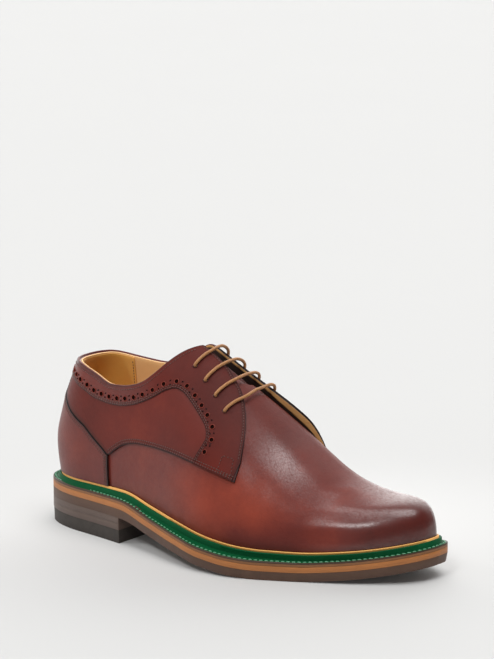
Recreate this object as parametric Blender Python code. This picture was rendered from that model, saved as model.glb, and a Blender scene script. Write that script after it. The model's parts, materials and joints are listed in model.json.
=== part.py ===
# Right-foot derby shoe with a welted leather sole, standing empty on a floor.
# Lengths in the tables are millimetres; stations run from the heel back to the toe.
import math

import bmesh
import bpy
import numpy as np

MM = 0.001
GAP = 0.3                # clearance between neighbouring pieces
SOLE_LENGTH = 300.0
HEEL_AXIS = 45.0         # station where the round of the heel begins
TOE_AXIS = 250.0         # station where the round of the toe begins
BREAST = 82.0            # station of the heel's front face
TOE_TIP = 293.0          # front of the upper at its feather line
HEEL_ROUND = 2.2         # superellipse exponents of the plan rounds
TOE_ROUND = 2.45
CROWN_AXIS = 264.6       # station where the toe's crown starts to fall
CROWN_ROUND = 3.0
TUCK = 0.10              # share of the width drawn in at the feather line
TUCK_HEIGHT = 0.30

OUTSOLE = 6.0            # thicknesses, from the floor upwards
MIDSOLE = 3.6
WELT = 2.7
TOP_PIECE = 9.0
HEEL_SEAT = 17.5         # underside of the outsole over the heel
LIP_HEIGHT = 4.0         # upright lip of the welt above its flange
LIP_WALL = 1.7
RAND_WALL = 0.9
RAND_RISE = 1.2          # rand standing above the lip
INSOLE = 2.6
WALL = 1.6               # upper with its lining
OVERLAY = 1.1            # quarters and counter
SEAT = 0.45              # clearance of rand and overlays over the facets of the upper
TONGUE = 1.7
TONGUE_TOP = 124.0       # station of the tongue's free end
TONGUE_TUCK = 10.0       # length of the tongue under the vamp
TONGUE_HALF = 15.0       # half width at its ends, and what its belly adds
TONGUE_BELLY = 7.0
LACE = 2.7               # diameter
EDGE_INSET = 0.4         # sole edges behind the outline
SOLE_CHAMFER = 0.6
MIDSOLE_CHAMFER = 0.2
HEEL_TAPER = 0.6

# rows and columns of the faceted walls
UPPER_LEVELS = 10
QUARTER_LEVELS = 8
TONGUE_ROWS = 12
TONGUE_LEVELS = 5
COUNTER_COLUMNS = 10
BAR_POINTS = 4
BAR_SIDES = 8

# station, lateral edge, medial edge, underside height
SOLE_SECTIONS = np.array([
    (0, -20.0, 40.0, HEEL_SEAT),
    (45, -26.0, 38.5, HEEL_SEAT),
    (82, -34.0, 36.0, HEEL_SEAT),
    (110, -41.6, 33.0, 12.2),
    (140, -51.5, 33.5, 7.2),
    (165, -57.5, 39.5, 3.4),
    (185, -57.0, 45.5, 1.2),
    (205, -50.5, 49.2, 0.0),
    (225, -41.5, 50.0, 0.0),
    (250, -29.5, 48.5, 1.8),
    (275, -18.5, 45.5, 5.4),
    (300, -11.5, 41.0, 10.5),
])
SOLE_CENTRE = np.array([(0, 7.0), (45, 7.0), (250, 22.0), (300, 22.0)])

# station, lateral side, medial side, crown line, crown height, wall and roof exponents of the section
LAST_SECTIONS = np.array([
    (0, -19.5, 37.5, 7.5, 186, 1.90, 1.90),
    (45, -23.5, 36.0, 6.5, 174, 1.90, 1.90),
    (82, -29.5, 32.0, 5.0, 155, 1.85, 1.85),
    (110, -36.0, 28.5, 5.0, 140, 1.80, 1.80),
    (140, -45.0, 28.0, 6.0, 124, 1.85, 1.85),
    (165, -50.5, 33.5, 8.5, 107, 1.95, 1.95),
    (185, -50.0, 39.0, 12.0, 92, 2.10, 2.00),
    (205, -43.5, 42.5, 14.8, 76.8, 2.30, 2.04),
    (225, -35.0, 43.5, 17.0, 61.5, 2.51, 2.12),
    (250, -23.0, 41.8, 21.5, 52.0, 2.91, 1.95),
    (275, -12.0, 39.0, 23.5, 49.5, 3.24, 2.39),
    (293, -5.5, 35.0, 20.4, 53.3, 3.16, 2.51),
])
# height, station of the heel's back curve
BACK_CURVE = np.array([(30, 10.5), (39, 9.2), (48, 7.6), (58, 7.0), (75, 11.2), (95, 18.1), (110, 25.4),
                       (180, 56.0)])

# station, height of the topline on the lateral and the medial side
TOPLINE = np.array([
    (0, 113.5, 113.5), (20, 113.5, 113.5), (32, 113.2, 112.6), (42, 111.8, 111.6), (52.7, 108.3, 111.1),
    (67.6, 103.2, 110.8), (83.7, 104.5, 112.0), (95.2, 108.7, 116.0), (104.6, 116.7, 121.5),
    (112.3, 124.4, 127.0), (118.9, 129.6, 131.0), (123.8, 131.6, 132.4), (128, 132.4, 132.8)])
# station, distance of each facing edge from the crown line
LATERAL_FACING = np.array([(110, 2.6), (128, 2.8), (135, 3.4), (145, 5.2), (153, 9.0), (162.5, 14.4), (168.2, 20.4),
                           (174.2, 28.3), (177.7, 35.1), (181.5, 45.2)])
MEDIAL_FACING = np.array([(110, 5.5), (150, 6.0), (170, 6.5), (185, 8.0), (193, 10.5), (199, 15.0), (203, 22.0)])
# station, lift of the medial facing's edge off the vamp
FLARE = np.array([(106, 0.0), (122, 4.4), (140, 3.7), (160, 3.8), (180, 4.8), (190, 5.0), (197, 3.2), (203, 0.0)])
FLARE_LEVEL = 0.55       # share of the quarter's height that stays down
THROAT_WIDTH = 6.0       # half width of the slot in the upper
THROAT_END = 172.0
THROAT_ROUND = 10.0
THROAT_SHARES = np.array([1.0, 0.7, 0.4, 0.18, 0.05, 0])    # rows round the throat's end
FACING_TOP = 124.0       # station where topline and facing meet
QUARTER_NOSE = 18.0      # length of the rounded front of a quarter

# station, height of the seam along the foot of each quarter, counter seam first
QUARTER_SEAM = np.array([
    (14, 91.5), (25.2, 85.7), (34.6, 79.7), (44.4, 73.5), (52.9, 67.1), (63.6, 60.1), (68.7, 56.7), (73.9, 60.1),
    (81.8, 65.0), (90.4, 67.6), (102.9, 68.5), (126, 67.8), (145.2, 65.5), (167.5, 61.2), (181.8, 57.3), (210, 50)])
SEAM_STATIONS = np.linspace(14.6, 68.2, 11)    # where the quarters meet the counter
COUNTER_TOP = 54.0       # height of the counter at its front end
BACK_STAY = np.array([97.0, 102.0, 107.0, 112.0])    # heights up the back stay

# station and distance from the crown line of each lateral eyelet, then of its medial one
EYELETS = np.array([(129.2, 16.3, 133.0, 14.5), (139.7, 20.1, 146.0, 15.0),
                    (150.0, 24.1, 157.0, 16.0), (159.7, 28.5, 168.0, 17.5)])

SIDES = {-1: 1, 1: 2}    # lateral and medial columns of the section tables


def curve(table, column, x):
    # smooth cubic through a table's rows, level at its peaks and straight beyond its ends
    x = np.asarray(x, float)
    xs, ys = table[:, 0], table[:, column]
    step = np.diff(xs)
    slope = np.diff(ys) / step
    mean = (slope[:-1] * step[1:] + slope[1:] * step[:-1]) / (step[1:] + step[:-1])
    m = np.concatenate([[slope[0]], np.where(slope[:-1] * slope[1:] > 0, mean, 0), [slope[-1]]])
    i = np.clip(np.searchsorted(xs, x, side="right") - 1, 0, len(xs) - 2)
    h = step[i]
    t = (x - xs[i]) / h
    y = ((2 * t**3 - 3 * t**2 + 1) * ys[i] + (t**3 - 2 * t**2 + t) * h * m[i]
         + (3 * t**2 - 2 * t**3) * ys[i + 1] + (t**3 - t**2) * h * m[i + 1])
    y = np.where(x < xs[0], ys[0] + m[0] * (x - xs[0]), y)
    return np.where(x > xs[-1], ys[-1] + m[-1] * (x - xs[-1]), y)


def plan_round(station, tip):
    # along-shoe position, and the width left by the rounds of heel and toe
    s = np.asarray(station, float)
    fan = np.clip((HEEL_AXIS - s) / HEEL_AXIS, 0, 1) * math.pi / 2
    nose = np.clip((s - TOE_AXIS) / (tip - TOE_AXIS), 0, 1) * math.pi / 2
    back = np.sin(fan) ** (2 / HEEL_ROUND)
    x = np.clip(s, HEEL_AXIS, TOE_AXIS) + (tip - TOE_AXIS) * np.sin(nose) ** (2 / TOE_ROUND)
    left = np.cos(fan) ** (2 / HEEL_ROUND) * np.cos(nose) ** (2 / TOE_ROUND)
    return x, back, np.where(left < 1e-7, 0, left)


def feather_height(x):
    return curve(SOLE_SECTIONS, 3, x) + OUTSOLE + MIDSOLE + GAP


def crown_rise(x):
    fall = np.clip((x - CROWN_AXIS) / (TOE_TIP - CROWN_AXIS), 0, 1)
    rise = np.maximum(1 - fall**CROWN_ROUND, 0) ** (1 / CROWN_ROUND)
    return (curve(LAST_SECTIONS, 4, x) - feather_height(x)) * rise


def last_point(side, station, angle):
    # angle runs from 0 at the feather line to pi/2 on the crown line
    station, angle = np.broadcast_arrays(np.asarray(station, float), np.asarray(angle, float))
    x, back, left = plan_round(station, TOE_TIP)
    up = np.sin(angle) ** (2 / curve(LAST_SECTIONS, 5, x))
    across = np.maximum(np.cos(angle), 0) ** (2 / curve(LAST_SECTIONS, 6, x))
    across = np.where(across < 1e-7, 0, across)
    across = across * (1 - TUCK * np.clip(1 - up / TUCK_HEIGHT, 0, 1) ** 2)
    z = feather_height(x) + crown_rise(x) * up
    x = x - (HEEL_AXIS - curve(BACK_CURVE, 1, z)) * back
    middle = curve(LAST_SECTIONS, 3, x)
    y = middle + (curve(LAST_SECTIONS, SIDES[side], x) - middle) * across * left
    return np.stack([x, y, z], -1)


def side_normal(side, station, angle):
    ds, da = 0.05, 0.002
    low, high = np.maximum(station - ds, 0), np.minimum(station + ds, TOE_TIP)
    along = last_point(side, high, angle) - last_point(side, low, angle)
    under, over = np.maximum(angle - da, 0), np.minimum(angle + da, math.pi / 2)
    rise = last_point(side, station, over) - last_point(side, station, under)
    n = np.cross(along, rise) * -side
    return n / np.maximum(np.linalg.norm(n, axis=-1, keepdims=True), 1e-9)


def offset_point(side, station, angle, distance):
    station, angle = np.broadcast_arrays(np.asarray(station, float), np.asarray(angle, float))
    n = side_normal(side, station, angle)
    seam = (station < 1e-6) | (angle > math.pi / 2 - 1e-6)
    both = n + side_normal(-side, station, angle)
    both = both / np.maximum(np.linalg.norm(both, axis=-1, keepdims=True), 1e-9)
    n = np.where(seam[..., None], both, n)
    n = np.where((station > TOE_TIP - 1e-6)[..., None], np.array([1.0, 0.0, 0.0]), n)
    return last_point(side, station, angle) + n * np.asarray(distance)[..., None]


def angle_at_height(station, height):
    x, _, _ = plan_round(station, TOE_TIP)
    up = np.clip((height - feather_height(x)) / np.maximum(crown_rise(x), 1e-6), 0, 1)
    return np.arcsin(up ** (curve(LAST_SECTIONS, 5, x) / 2))


def angle_from_crown(side, station, distance):
    x, _, _ = plan_round(station, TOE_TIP)
    half = np.abs(curve(LAST_SECTIONS, SIDES[side], x) - curve(LAST_SECTIONS, 3, x))
    return np.arccos(np.clip(distance / half, 0, 1) ** (curve(LAST_SECTIONS, 6, x) / 2))


def facing_angle(side, station):
    table = LATERAL_FACING if side < 0 else MEDIAL_FACING
    return angle_from_crown(side, station, curve(table, 1, station))


def topline_angle(side, station):
    return angle_at_height(station, curve(TOPLINE, SIDES[side], station))


def loop_from(lateral, medial, open_end=False):
    # once round the outline, heel back to toe and home again
    last = len(medial) if open_end else len(medial) - 1
    return np.concatenate([lateral, medial[1:last][::-1]])


def loop_normals(loop):
    tangent = np.roll(loop, -1, 0) - np.roll(loop, 1, 0)
    normal = np.stack([-tangent[:, 1], tangent[:, 0]], -1)
    normal = normal / np.linalg.norm(normal, axis=-1, keepdims=True)
    middle = loop[:, :2].mean(0)
    outward = np.sum(normal * (loop[:, :2] - middle), -1).mean()
    return normal * (1 if outward > 0 else -1)


def moved_out(loop, distance):
    moved = loop.copy()
    moved[:, :2] += loop_normals(loop) * distance
    return moved


NOSE_SHARES = 1 - (1 - np.linspace(0, 1, 13)[1:]) ** 1.6    # closer together towards the toe's tip
RING_STATIONS = np.concatenate([
    np.linspace(0, HEEL_AXIS, 9), np.linspace(HEEL_AXIS, TOE_AXIS, 22)[1:],
    TOE_AXIS + (SOLE_LENGTH - TOE_AXIS) * NOSE_SHARES])


def sole_loop(inset, rise, stations=RING_STATIONS, open_end=False):
    x, back, left = plan_round(stations, SOLE_LENGTH)
    x = x - HEEL_AXIS * back
    middle = curve(SOLE_CENTRE, 1, x)
    rails = [np.stack([x, middle + (curve(SOLE_SECTIONS, column, x) - middle) * left, 0 * x], -1)
             for column in (1, 2)]
    loop = moved_out(loop_from(*rails, open_end), -inset)
    loop[:, 2] = curve(SOLE_SECTIONS, 3, loop[:, 0]) + rise
    return loop


def nose_station(height):
    # station at which the toe's crown line stands at a height over the feather line
    x = np.linspace(CROWN_AXIS, TOE_TIP, 2000)
    front = x[crown_rise(x) >= height - 1e-9][-1]
    share = ((front - TOE_AXIS) / (TOE_TIP - TOE_AXIS)) ** (TOE_ROUND / 2)
    return TOE_AXIS + (TOE_TIP - TOE_AXIS) * math.asin(share) * 2 / math.pi


def foot_loop(height, distance):
    # level line of the last at a height over its feather line, moved outwards
    stations = RING_STATIONS.copy()
    front = stations > TOE_AXIS
    nose = (stations[front] - TOE_AXIS) / (SOLE_LENGTH - TOE_AXIS)
    stations[front] = TOE_AXIS + (nose_station(height) - TOE_AXIS) * nose
    x, _, _ = plan_round(stations, TOE_TIP)
    angle = angle_at_height(stations, feather_height(x) + height)
    angle[-1] = math.pi / 2
    loop = moved_out(loop_from(*[last_point(side, stations, angle) for side in SIDES]), distance)
    loop[:, 2] = feather_height(loop[:, 0]) + height
    return loop


def quad_faces(rows, columns, index):
    faces = []
    for i in range(rows - 1):
        for j in range(columns - 1):
            ring = [index[i][j], index[i + 1][j], index[i + 1][j + 1], index[i][j + 1]]
            face = [v for k, v in enumerate(ring) if v != ring[k - 1]]
            if len(set(face)) > 2:
                faces.append(face)
    return faces


def welded(grids):
    # one vertex list for several grids, sharing the points that coincide
    points, index, seen = [], [], {}
    for grid in grids:
        rows = []
        for row in grid:
            ids = []
            for outer, inner in row:
                key = tuple(np.round(outer, 3))
                if key not in seen:
                    seen[key] = len(points)
                    points.append((outer, inner))
                ids.append(seen[key])
            rows.append(ids)
        index.append(rows)
    return points, index


def sheet_solid(grids):
    # closed wall between the outer and inner points of one or more joined grids
    points, index = welded(grids)
    count = len(points)
    faces = []
    for rows in index:
        faces += quad_faces(len(rows), len(rows[0]), rows)
    edges = {}
    for face in faces:
        for a, b in zip(face, face[1:] + face[:1]):
            key = (min(a, b), max(a, b))
            edges[key] = edges.get(key, 0) + 1
    rim = [edge for edge, uses in edges.items() if uses == 1]
    solid = [list(face) for face in faces] + [[v + count for v in face] for face in faces]
    solid += [[a, b, b + count, a + count] for a, b in rim]
    return [p[0] for p in points] + [p[1] for p in points], solid


def ring_solid(loops):
    # closed ring whose section runs through the loops in turn
    count = len(loops[0])
    faces = []
    for k in range(len(loops)):
        nxt = (k + 1) % len(loops)
        for i in range(count):
            j = (i + 1) % count
            faces.append([k * count + i, k * count + j, nxt * count + j, nxt * count + i])
    return np.concatenate(loops), faces


def slab_solid(loops, rail):
    # closed slab between stacked loops; rail is how many points lie on the lateral side
    count = len(loops[0])
    faces = []
    for k in range(len(loops) - 1):
        for i in range(count):
            j = (i + 1) % count
            faces.append([k * count + i, k * count + j, (k + 1) * count + j, (k + 1) * count + i])
    for k in (0, len(loops) - 1):
        for i in range(rail - 1):
            ring = [i, i + 1, (count - i - 1) % count, (count - i) % count]
            face = [v for n, v in enumerate(ring) if v != ring[n - 1]]
            faces.append([k * count + v for v in face])
    return np.concatenate(loops), faces


def plain_material(name, colour, roughness):
    material = bpy.data.materials.new(name)
    material.use_nodes = True
    shader = material.node_tree.nodes["Principled BSDF"]
    shader.inputs["Base Color"].default_value = (*colour, 1)
    shader.inputs["Roughness"].default_value = roughness
    shader.inputs["Metallic"].default_value = 0
    return material


def add_piece(name, shape, colour, roughness, sharp=40):
    # the plan centre of the sole becomes the origin, with the floor at z = 0
    points, faces = shape
    outline = sole_loop(0, 0)
    centre = (outline.min(0) + outline.max(0)) / 2
    shifted = (np.asarray(points) - [centre[0], centre[1], 0]) * MM
    mesh = bpy.data.meshes.new(name)
    mesh.from_pydata([tuple(p) for p in shifted], [], faces)
    bm = bmesh.new()
    bm.from_mesh(mesh)
    bmesh.ops.recalc_face_normals(bm, faces=bm.faces)
    bmesh.ops.triangulate(bm, faces=bm.faces)
    bm.to_mesh(mesh)
    bm.free()
    mesh.shade_smooth()
    mesh.set_sharp_from_angle(angle=math.radians(sharp))
    mesh.materials.append(plain_material(name, colour, roughness))
    piece = bpy.data.objects.new(name, mesh)
    bpy.context.collection.objects.link(piece)


def wall_grid(side, stations, low, high, levels, outer, inner):
    # rows of (outer, inner) points between two angle limits at each station
    share = np.linspace(0, 1, levels)
    angle = low[:, None] + (high - low)[:, None] * share
    station = np.broadcast_to(stations[:, None], angle.shape)
    outside = offset_point(side, station, angle, np.broadcast_to(outer, angle.shape))
    inside = offset_point(side, station, angle, np.broadcast_to(inner, angle.shape))
    return np.stack([outside, inside], 2)


def sole_slab(base, top, chamfer, stations=RING_STATIONS, open_end=False):
    loops = [sole_loop(EDGE_INSET + chamfer, base, stations, open_end),
             sole_loop(EDGE_INSET, base + chamfer, stations, open_end),
             sole_loop(EDGE_INSET, top, stations, open_end)]
    return slab_solid(loops, len(stations))


def heel_slab(base, top, taper):
    # level block under the heel, closed by the straight breast
    stations = np.concatenate([np.linspace(0, HEEL_AXIS, 12), [58.0, 70.0, BREAST]])
    loops = []
    for height, inset in ((base, EDGE_INSET + taper), (top, EDGE_INSET + taper / 2)):
        loop = sole_loop(0, 0, stations, True)
        normals = loop_normals(loop)
        corner = [len(stations) - 1, len(stations)]
        normals[corner] = [[0.0, -1.0], [0.0, 1.0]]
        loop[:, :2] -= normals * inset
        loop[:, 2] = height
        loops.append(loop)
    return slab_solid(loops, len(stations))


def outsole():
    return sole_slab(0, OUTSOLE - GAP, SOLE_CHAMFER)


def midsole():
    return sole_slab(OUTSOLE, OUTSOLE + MIDSOLE, MIDSOLE_CHAMFER)


def welt():
    # flange under the stitches, and an upright lip round the upper
    base = OUTSOLE + MIDSOLE + GAP
    inner = SEAT + RAND_WALL + GAP
    tall = WELT + LIP_HEIGHT
    return ring_solid([
        foot_loop(0, inner), sole_loop(EDGE_INSET, base), sole_loop(EDGE_INSET, base + WELT),
        foot_loop(WELT, inner + LIP_WALL), foot_loop(tall, inner + LIP_WALL * 0.8), foot_loop(tall, inner)])


def rand():
    tall = WELT + LIP_HEIGHT + RAND_RISE
    outer = SEAT + RAND_WALL
    return ring_solid([foot_loop(0, SEAT), foot_loop(0, outer),
                       foot_loop(tall, outer), foot_loop(tall, SEAT)])


def insole():
    inset = -(WALL + 4 * GAP)
    loops = [foot_loop(height, inset) for height in (GAP, GAP + INSOLE)]
    return slab_solid(loops, len(RING_STATIONS))


def upper():
    mouth = THROAT_END - THROAT_ROUND * THROAT_SHARES
    stations = np.concatenate([
        np.linspace(0, HEEL_AXIS, 9), np.linspace(HEEL_AXIS, mouth[0], 18)[1:], mouth[1:],
        np.linspace(THROAT_END, TOE_AXIS, 9)[1:],
        TOE_AXIS + (TOE_TIP - TOE_AXIS) * NOSE_SHARES])
    past = np.clip((stations - mouth[0]) / THROAT_ROUND, 0, 1)
    half = THROAT_WIDTH * np.sqrt(1 - past**2)
    grids = []
    for side in SIDES:
        slot = np.where(stations < THROAT_END, angle_from_crown(side, stations, half), math.pi / 2)
        high = np.minimum(slot, topline_angle(side, stations))
        grids.append(wall_grid(side, stations, np.zeros(len(stations)), high, UPPER_LEVELS, 0.0, -WALL))
    return sheet_solid(grids)


def tongue():
    # blade under the facings, from above the top lace to below the throat
    stations = np.linspace(TONGUE_TOP, THROAT_END + TONGUE_TUCK, TONGUE_ROWS)
    top = -(WALL + 3 * GAP)
    spread = TONGUE_HALF + TONGUE_BELLY * np.sin(np.linspace(0.35, 1, TONGUE_ROWS) * math.pi)
    crown = np.full(TONGUE_ROWS, math.pi / 2)
    grids = []
    for side in SIDES:
        low = angle_from_crown(side, stations, spread)
        grids.append(wall_grid(side, stations, low, crown, TONGUE_LEVELS, top, top - TONGUE))
    return sheet_solid(grids)


def quarter_limits(side, station):
    low = angle_at_height(station, curve(QUARTER_SEAM, 1, station) + GAP)
    return low, np.minimum(topline_angle(side, station), facing_angle(side, station))


def quarter_lift(side, station, share):
    # clearance under a quarter; the medial facing stands off the vamp towards its edge
    edge = np.clip((share - FLARE_LEVEL) / (1 - FLARE_LEVEL), 0, 1)
    return SEAT + max(side, 0) * np.maximum(curve(FLARE, 1, station), 0) * edge**2


def quarter(side):
    tip = LATERAL_FACING[-1, 0] if side < 0 else MEDIAL_FACING[-1, 0]
    stations = np.concatenate([
        SEAM_STATIONS, np.linspace(SEAM_STATIONS[-1] + 5 * GAP, FACING_TOP, 12),
        np.linspace(FACING_TOP, tip - QUARTER_NOSE, 9)[1:],
        tip - QUARTER_NOSE * (1 - np.linspace(0, 1, 9)[1:] ** 0.6)])
    low, high = quarter_limits(side, stations)
    inner = quarter_lift(side, stations[:, None], np.linspace(0, 1, QUARTER_LEVELS))
    return sheet_solid([wall_grid(side, stations, low, high, QUARTER_LEVELS, inner + OVERLAY, inner)])


def counter():
    # round the back of the heel, with a narrow stay up to the topline
    base = HEEL_SEAT + OUTSOLE + MIDSOLE + WELT + LIP_HEIGHT + RAND_RISE + 2 * GAP
    seam = SEAM_STATIONS[::-1]
    front = np.linspace(base, COUNTER_TOP, 4)
    heights = np.concatenate([front, curve(QUARTER_SEAM, 1, seam) - GAP, BACK_STAY])
    edge = np.concatenate([np.full(len(front), seam[0]), seam, np.full(len(BACK_STAY), seam[-1] - 2 * GAP)])
    station = edge[:, None] * np.linspace(0, 1, COUNTER_COLUMNS)
    angle = angle_at_height(station, np.broadcast_to(heights[:, None], station.shape))
    grids = []
    for side in SIDES:
        outside = offset_point(side, station, angle, np.full(angle.shape, SEAT + OVERLAY))
        inside = offset_point(side, station, angle, np.full(angle.shape, SEAT))
        grids.append(np.stack([outside, inside], 2))
    return sheet_solid(grids)


def lace_bar(row):
    # one bar of round lace between its two eyelets, straight over the throat
    route = []
    for side, station, distance in ((-1, *row[:2]), (1, *row[2:])):
        low, edge = quarter_limits(side, station)
        angle = np.linspace(angle_from_crown(side, station, distance), edge, BAR_POINTS)
        lift = quarter_lift(side, station, (angle - low) / (edge - low)) + OVERLAY + SEAT + LACE / 2
        route += list(offset_point(side, station, angle, lift)[::-side])
    route = np.array(route)
    loops = []
    for k, point in enumerate(route):
        along = route[min(k + 1, len(route) - 1)] - route[max(k - 1, 0)]
        along = along / np.linalg.norm(along)
        over = np.cross(along, [1.0, 0.0, 0.0])
        over = over / np.linalg.norm(over)
        aside = np.cross(along, over)
        turn = np.arange(BAR_SIDES) * 2 * math.pi / BAR_SIDES
        loops.append(point + LACE / 2 * (np.cos(turn)[:, None] * over + np.sin(turn)[:, None] * aside))
    return slab_solid(loops, BAR_SIDES // 2 + 1)


def build():
    for old in list(bpy.data.objects):
        bpy.data.objects.remove(old)
    add_piece("outsole", outsole(), (0.075, 0.042, 0.030), 0.55)
    add_piece("heel_top_piece", heel_slab(0, TOP_PIECE, HEEL_TAPER), (0.020, 0.018, 0.017), 0.60)
    add_piece("heel_lift", heel_slab(TOP_PIECE + GAP, HEEL_SEAT - GAP, 0.0), (0.110, 0.065, 0.045), 0.50)
    add_piece("midsole", midsole(), (0.330, 0.130, 0.045), 0.50)
    add_piece("welt", welt(), (0.004, 0.110, 0.035), 0.45)
    add_piece("rand", rand(), (0.560, 0.270, 0.060), 0.55)
    add_piece("insole", insole(), (0.520, 0.330, 0.130), 0.65)
    add_piece("upper", upper(), (0.170, 0.030, 0.016), 0.30)
    add_piece("tongue", tongue(), (0.120, 0.022, 0.013), 0.35)
    add_piece("quarter_lateral", quarter(-1), (0.150, 0.027, 0.015), 0.30)
    add_piece("quarter_medial", quarter(1), (0.150, 0.027, 0.015), 0.30)
    add_piece("counter", counter(), (0.160, 0.030, 0.018), 0.30)
    for number, row in enumerate(EYELETS, 1):
        add_piece(f"lace_bar_{number}", lace_bar(row), (0.230, 0.090, 0.035), 0.60)


build()
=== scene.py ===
# Brown four-eyelet derby for the right foot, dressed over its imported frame.
# Lengths are millimetres on the last: stations run from the heel's back to the toe, -1 is the lateral side.
import json
import math

import bmesh
import bpy
import numpy as np
from mathutils import Matrix, Vector

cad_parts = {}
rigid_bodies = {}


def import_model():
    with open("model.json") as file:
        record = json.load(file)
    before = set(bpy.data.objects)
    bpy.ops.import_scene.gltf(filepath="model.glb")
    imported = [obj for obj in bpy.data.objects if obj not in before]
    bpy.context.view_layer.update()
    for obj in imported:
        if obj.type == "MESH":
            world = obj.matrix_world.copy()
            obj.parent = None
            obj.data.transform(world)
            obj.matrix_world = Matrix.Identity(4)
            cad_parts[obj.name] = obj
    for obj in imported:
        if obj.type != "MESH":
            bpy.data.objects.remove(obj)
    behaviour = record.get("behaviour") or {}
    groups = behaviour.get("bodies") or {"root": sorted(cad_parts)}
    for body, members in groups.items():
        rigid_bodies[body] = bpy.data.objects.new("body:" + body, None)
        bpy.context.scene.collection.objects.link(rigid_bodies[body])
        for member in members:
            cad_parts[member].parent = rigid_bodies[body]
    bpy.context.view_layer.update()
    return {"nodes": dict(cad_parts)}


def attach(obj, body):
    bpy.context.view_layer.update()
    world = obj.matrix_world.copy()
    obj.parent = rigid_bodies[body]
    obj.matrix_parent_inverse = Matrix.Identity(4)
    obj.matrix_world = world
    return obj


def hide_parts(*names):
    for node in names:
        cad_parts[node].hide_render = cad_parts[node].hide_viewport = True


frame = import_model()
for old in list(bpy.data.objects):
    if old.type in ("LIGHT", "CAMERA") or old.name == "Cube":
        bpy.data.objects.remove(old)
print("frame loaded:", len(frame["nodes"]), "nodes")

mm = 0.001
quarterTurn = math.pi / 2
bothSides = (-1, 1)
tiny, sliver, nearly = 1e-9, 1e-7, 1e-6

solePlan = {
    "length": 300.0, "heelAxis": 45.0, "toeAxis": 250.0, "breast": 82.0,
    "heelRound": 2.2, "toeRound": 2.45, "edgeInset": 0.4,
    "outsole": 6.0, "midsole": 3.6, "welt": 2.7, "gap": 0.3, "heelSeat": 17.5,
    # station, lateral edge, medial edge, underside
    "sections": [(0, -20, 40, 17.5), (45, -26, 38.5, 17.5), (82, -34, 36, 17.5), (110, -41.6, 33, 12.2),
                 (140, -51.5, 33.5, 7.2), (165, -57.5, 39.5, 3.4), (185, -57, 45.5, 1.2),
                 (205, -50.5, 49.2, 0), (225, -41.5, 50, 0), (250, -29.5, 48.5, 1.8),
                 (275, -18.5, 45.5, 5.4), (300, -11.5, 41, 10.5)],
    "centre": [(0, 7), (45, 7), (250, 22), (300, 22)],
}
lastForm = {
    "toeTip": 293.0, "crownAxis": 264.6, "crownRound": 3.0, "tuck": 0.10, "tuckHeight": 0.30,
    # station, lateral side, medial side, crown line, crown height, fullness of wall and roof
    "sections": [(0, -19.5, 37.5, 7.5, 186, 1.9, 1.9), (45, -23.5, 36, 6.5, 174, 1.9, 1.9),
                 (82, -29.5, 32, 5, 155, 1.85, 1.85), (110, -36, 28.5, 5, 140, 1.8, 1.8),
                 (140, -45, 28, 6, 124, 1.85, 1.85), (165, -50.5, 33.5, 8.5, 107, 1.95, 1.95),
                 (185, -50, 39, 12, 92, 2.1, 2.0), (205, -43.5, 42.5, 14.8, 76.8, 2.3, 2.04),
                 (225, -35, 43.5, 17, 61.5, 2.51, 2.12), (250, -23, 41.8, 21.5, 52, 2.91, 1.95),
                 (275, -12, 39, 23.5, 49.5, 3.24, 2.39), (293, -5.5, 35, 20.4, 53.3, 3.16, 2.51)],
    # height, station of the heel's back
    "back": [(30, 10.5), (39, 9.2), (48, 7.6), (58, 7), (75, 11.2), (95, 18.1), (110, 25.4), (180, 56)],
}
heelAxis, toeAxis, soleLength = solePlan["heelAxis"], solePlan["toeAxis"], solePlan["length"]
toeTip = lastForm["toeTip"]
weltBase = solePlan["outsole"] + solePlan["midsole"] + solePlan["gap"]


# curves

def unit(vectors):
    return vectors / np.maximum(np.linalg.norm(vectors, axis=-1, keepdims=True), tiny)


def ramp(value, low, high):
    # 0 before low, 1 beyond high
    return np.clip((value - low) / (high - low), 0, 1)


def smoothStep(value, low, high):
    t = ramp(value, low, high)
    return t**2 * (3 - 2 * t)


def chained(*spans):
    # evenly spread values, one span (from, to, count) after another
    runs = [np.linspace(*span) for span in spans]
    return np.concatenate(runs[:1] + [run[1:] for run in runs[1:]])


def tableCurve(table, column, x):
    # cubic through a table's rows, level at its peaks and straight beyond its ends
    table = np.array(table, float)
    xs, ys = table[:, 0], table[:, column]
    step = np.diff(xs)
    slope = np.diff(ys) / step
    mean = (slope[:-1] * step[1:] + slope[1:] * step[:-1]) / (step[1:] + step[:-1])
    m = np.concatenate([[slope[0]], np.where(slope[:-1] * slope[1:] > 0, mean, 0), [slope[-1]]])
    i = np.clip(np.searchsorted(xs, x, side="right") - 1, 0, len(xs) - 2)
    h = step[i]
    t = (x - xs[i]) / h
    y = ((2 * t**3 - 3 * t**2 + 1) * ys[i] + (t**3 - 2 * t**2 + t) * h * m[i]
         + (3 * t**2 - 2 * t**3) * ys[i + 1] + (t**3 - t**2) * h * m[i + 1])
    y = np.where(x < xs[0], ys[0] + m[0] * (x - xs[0]), y)
    return np.where(x > xs[-1], ys[-1] + m[-1] * (x - xs[-1]), y)


def easedCurve(table, column, ease, low=-30.0, high=330.0, step=0.5):
    # the same curve, softened over a few millimetres so that reflections run on without kinks
    reach = int(3 * ease / step)
    x = np.arange(low, high, step)
    wide = np.arange(low - reach * step, high + (reach - 0.5) * step, step)
    weight = np.exp(-0.5 * (np.arange(-reach, reach + 1) * step / ease) ** 2)
    y = np.convolve(tableCurve(table, column, wide), weight / weight.sum(), "valid")[:len(x)]
    return lambda at: np.interp(at, x, y)


def sideCurves(table, ease):
    # the columns after the station are the lateral and the medial side
    return {-1: easedCurve(table, 1, ease), 1: easedCurve(table, 2, ease)}


def pathLength(run):
    return np.concatenate([[0], np.cumsum(np.linalg.norm(np.diff(run, axis=0), axis=-1))])


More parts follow.
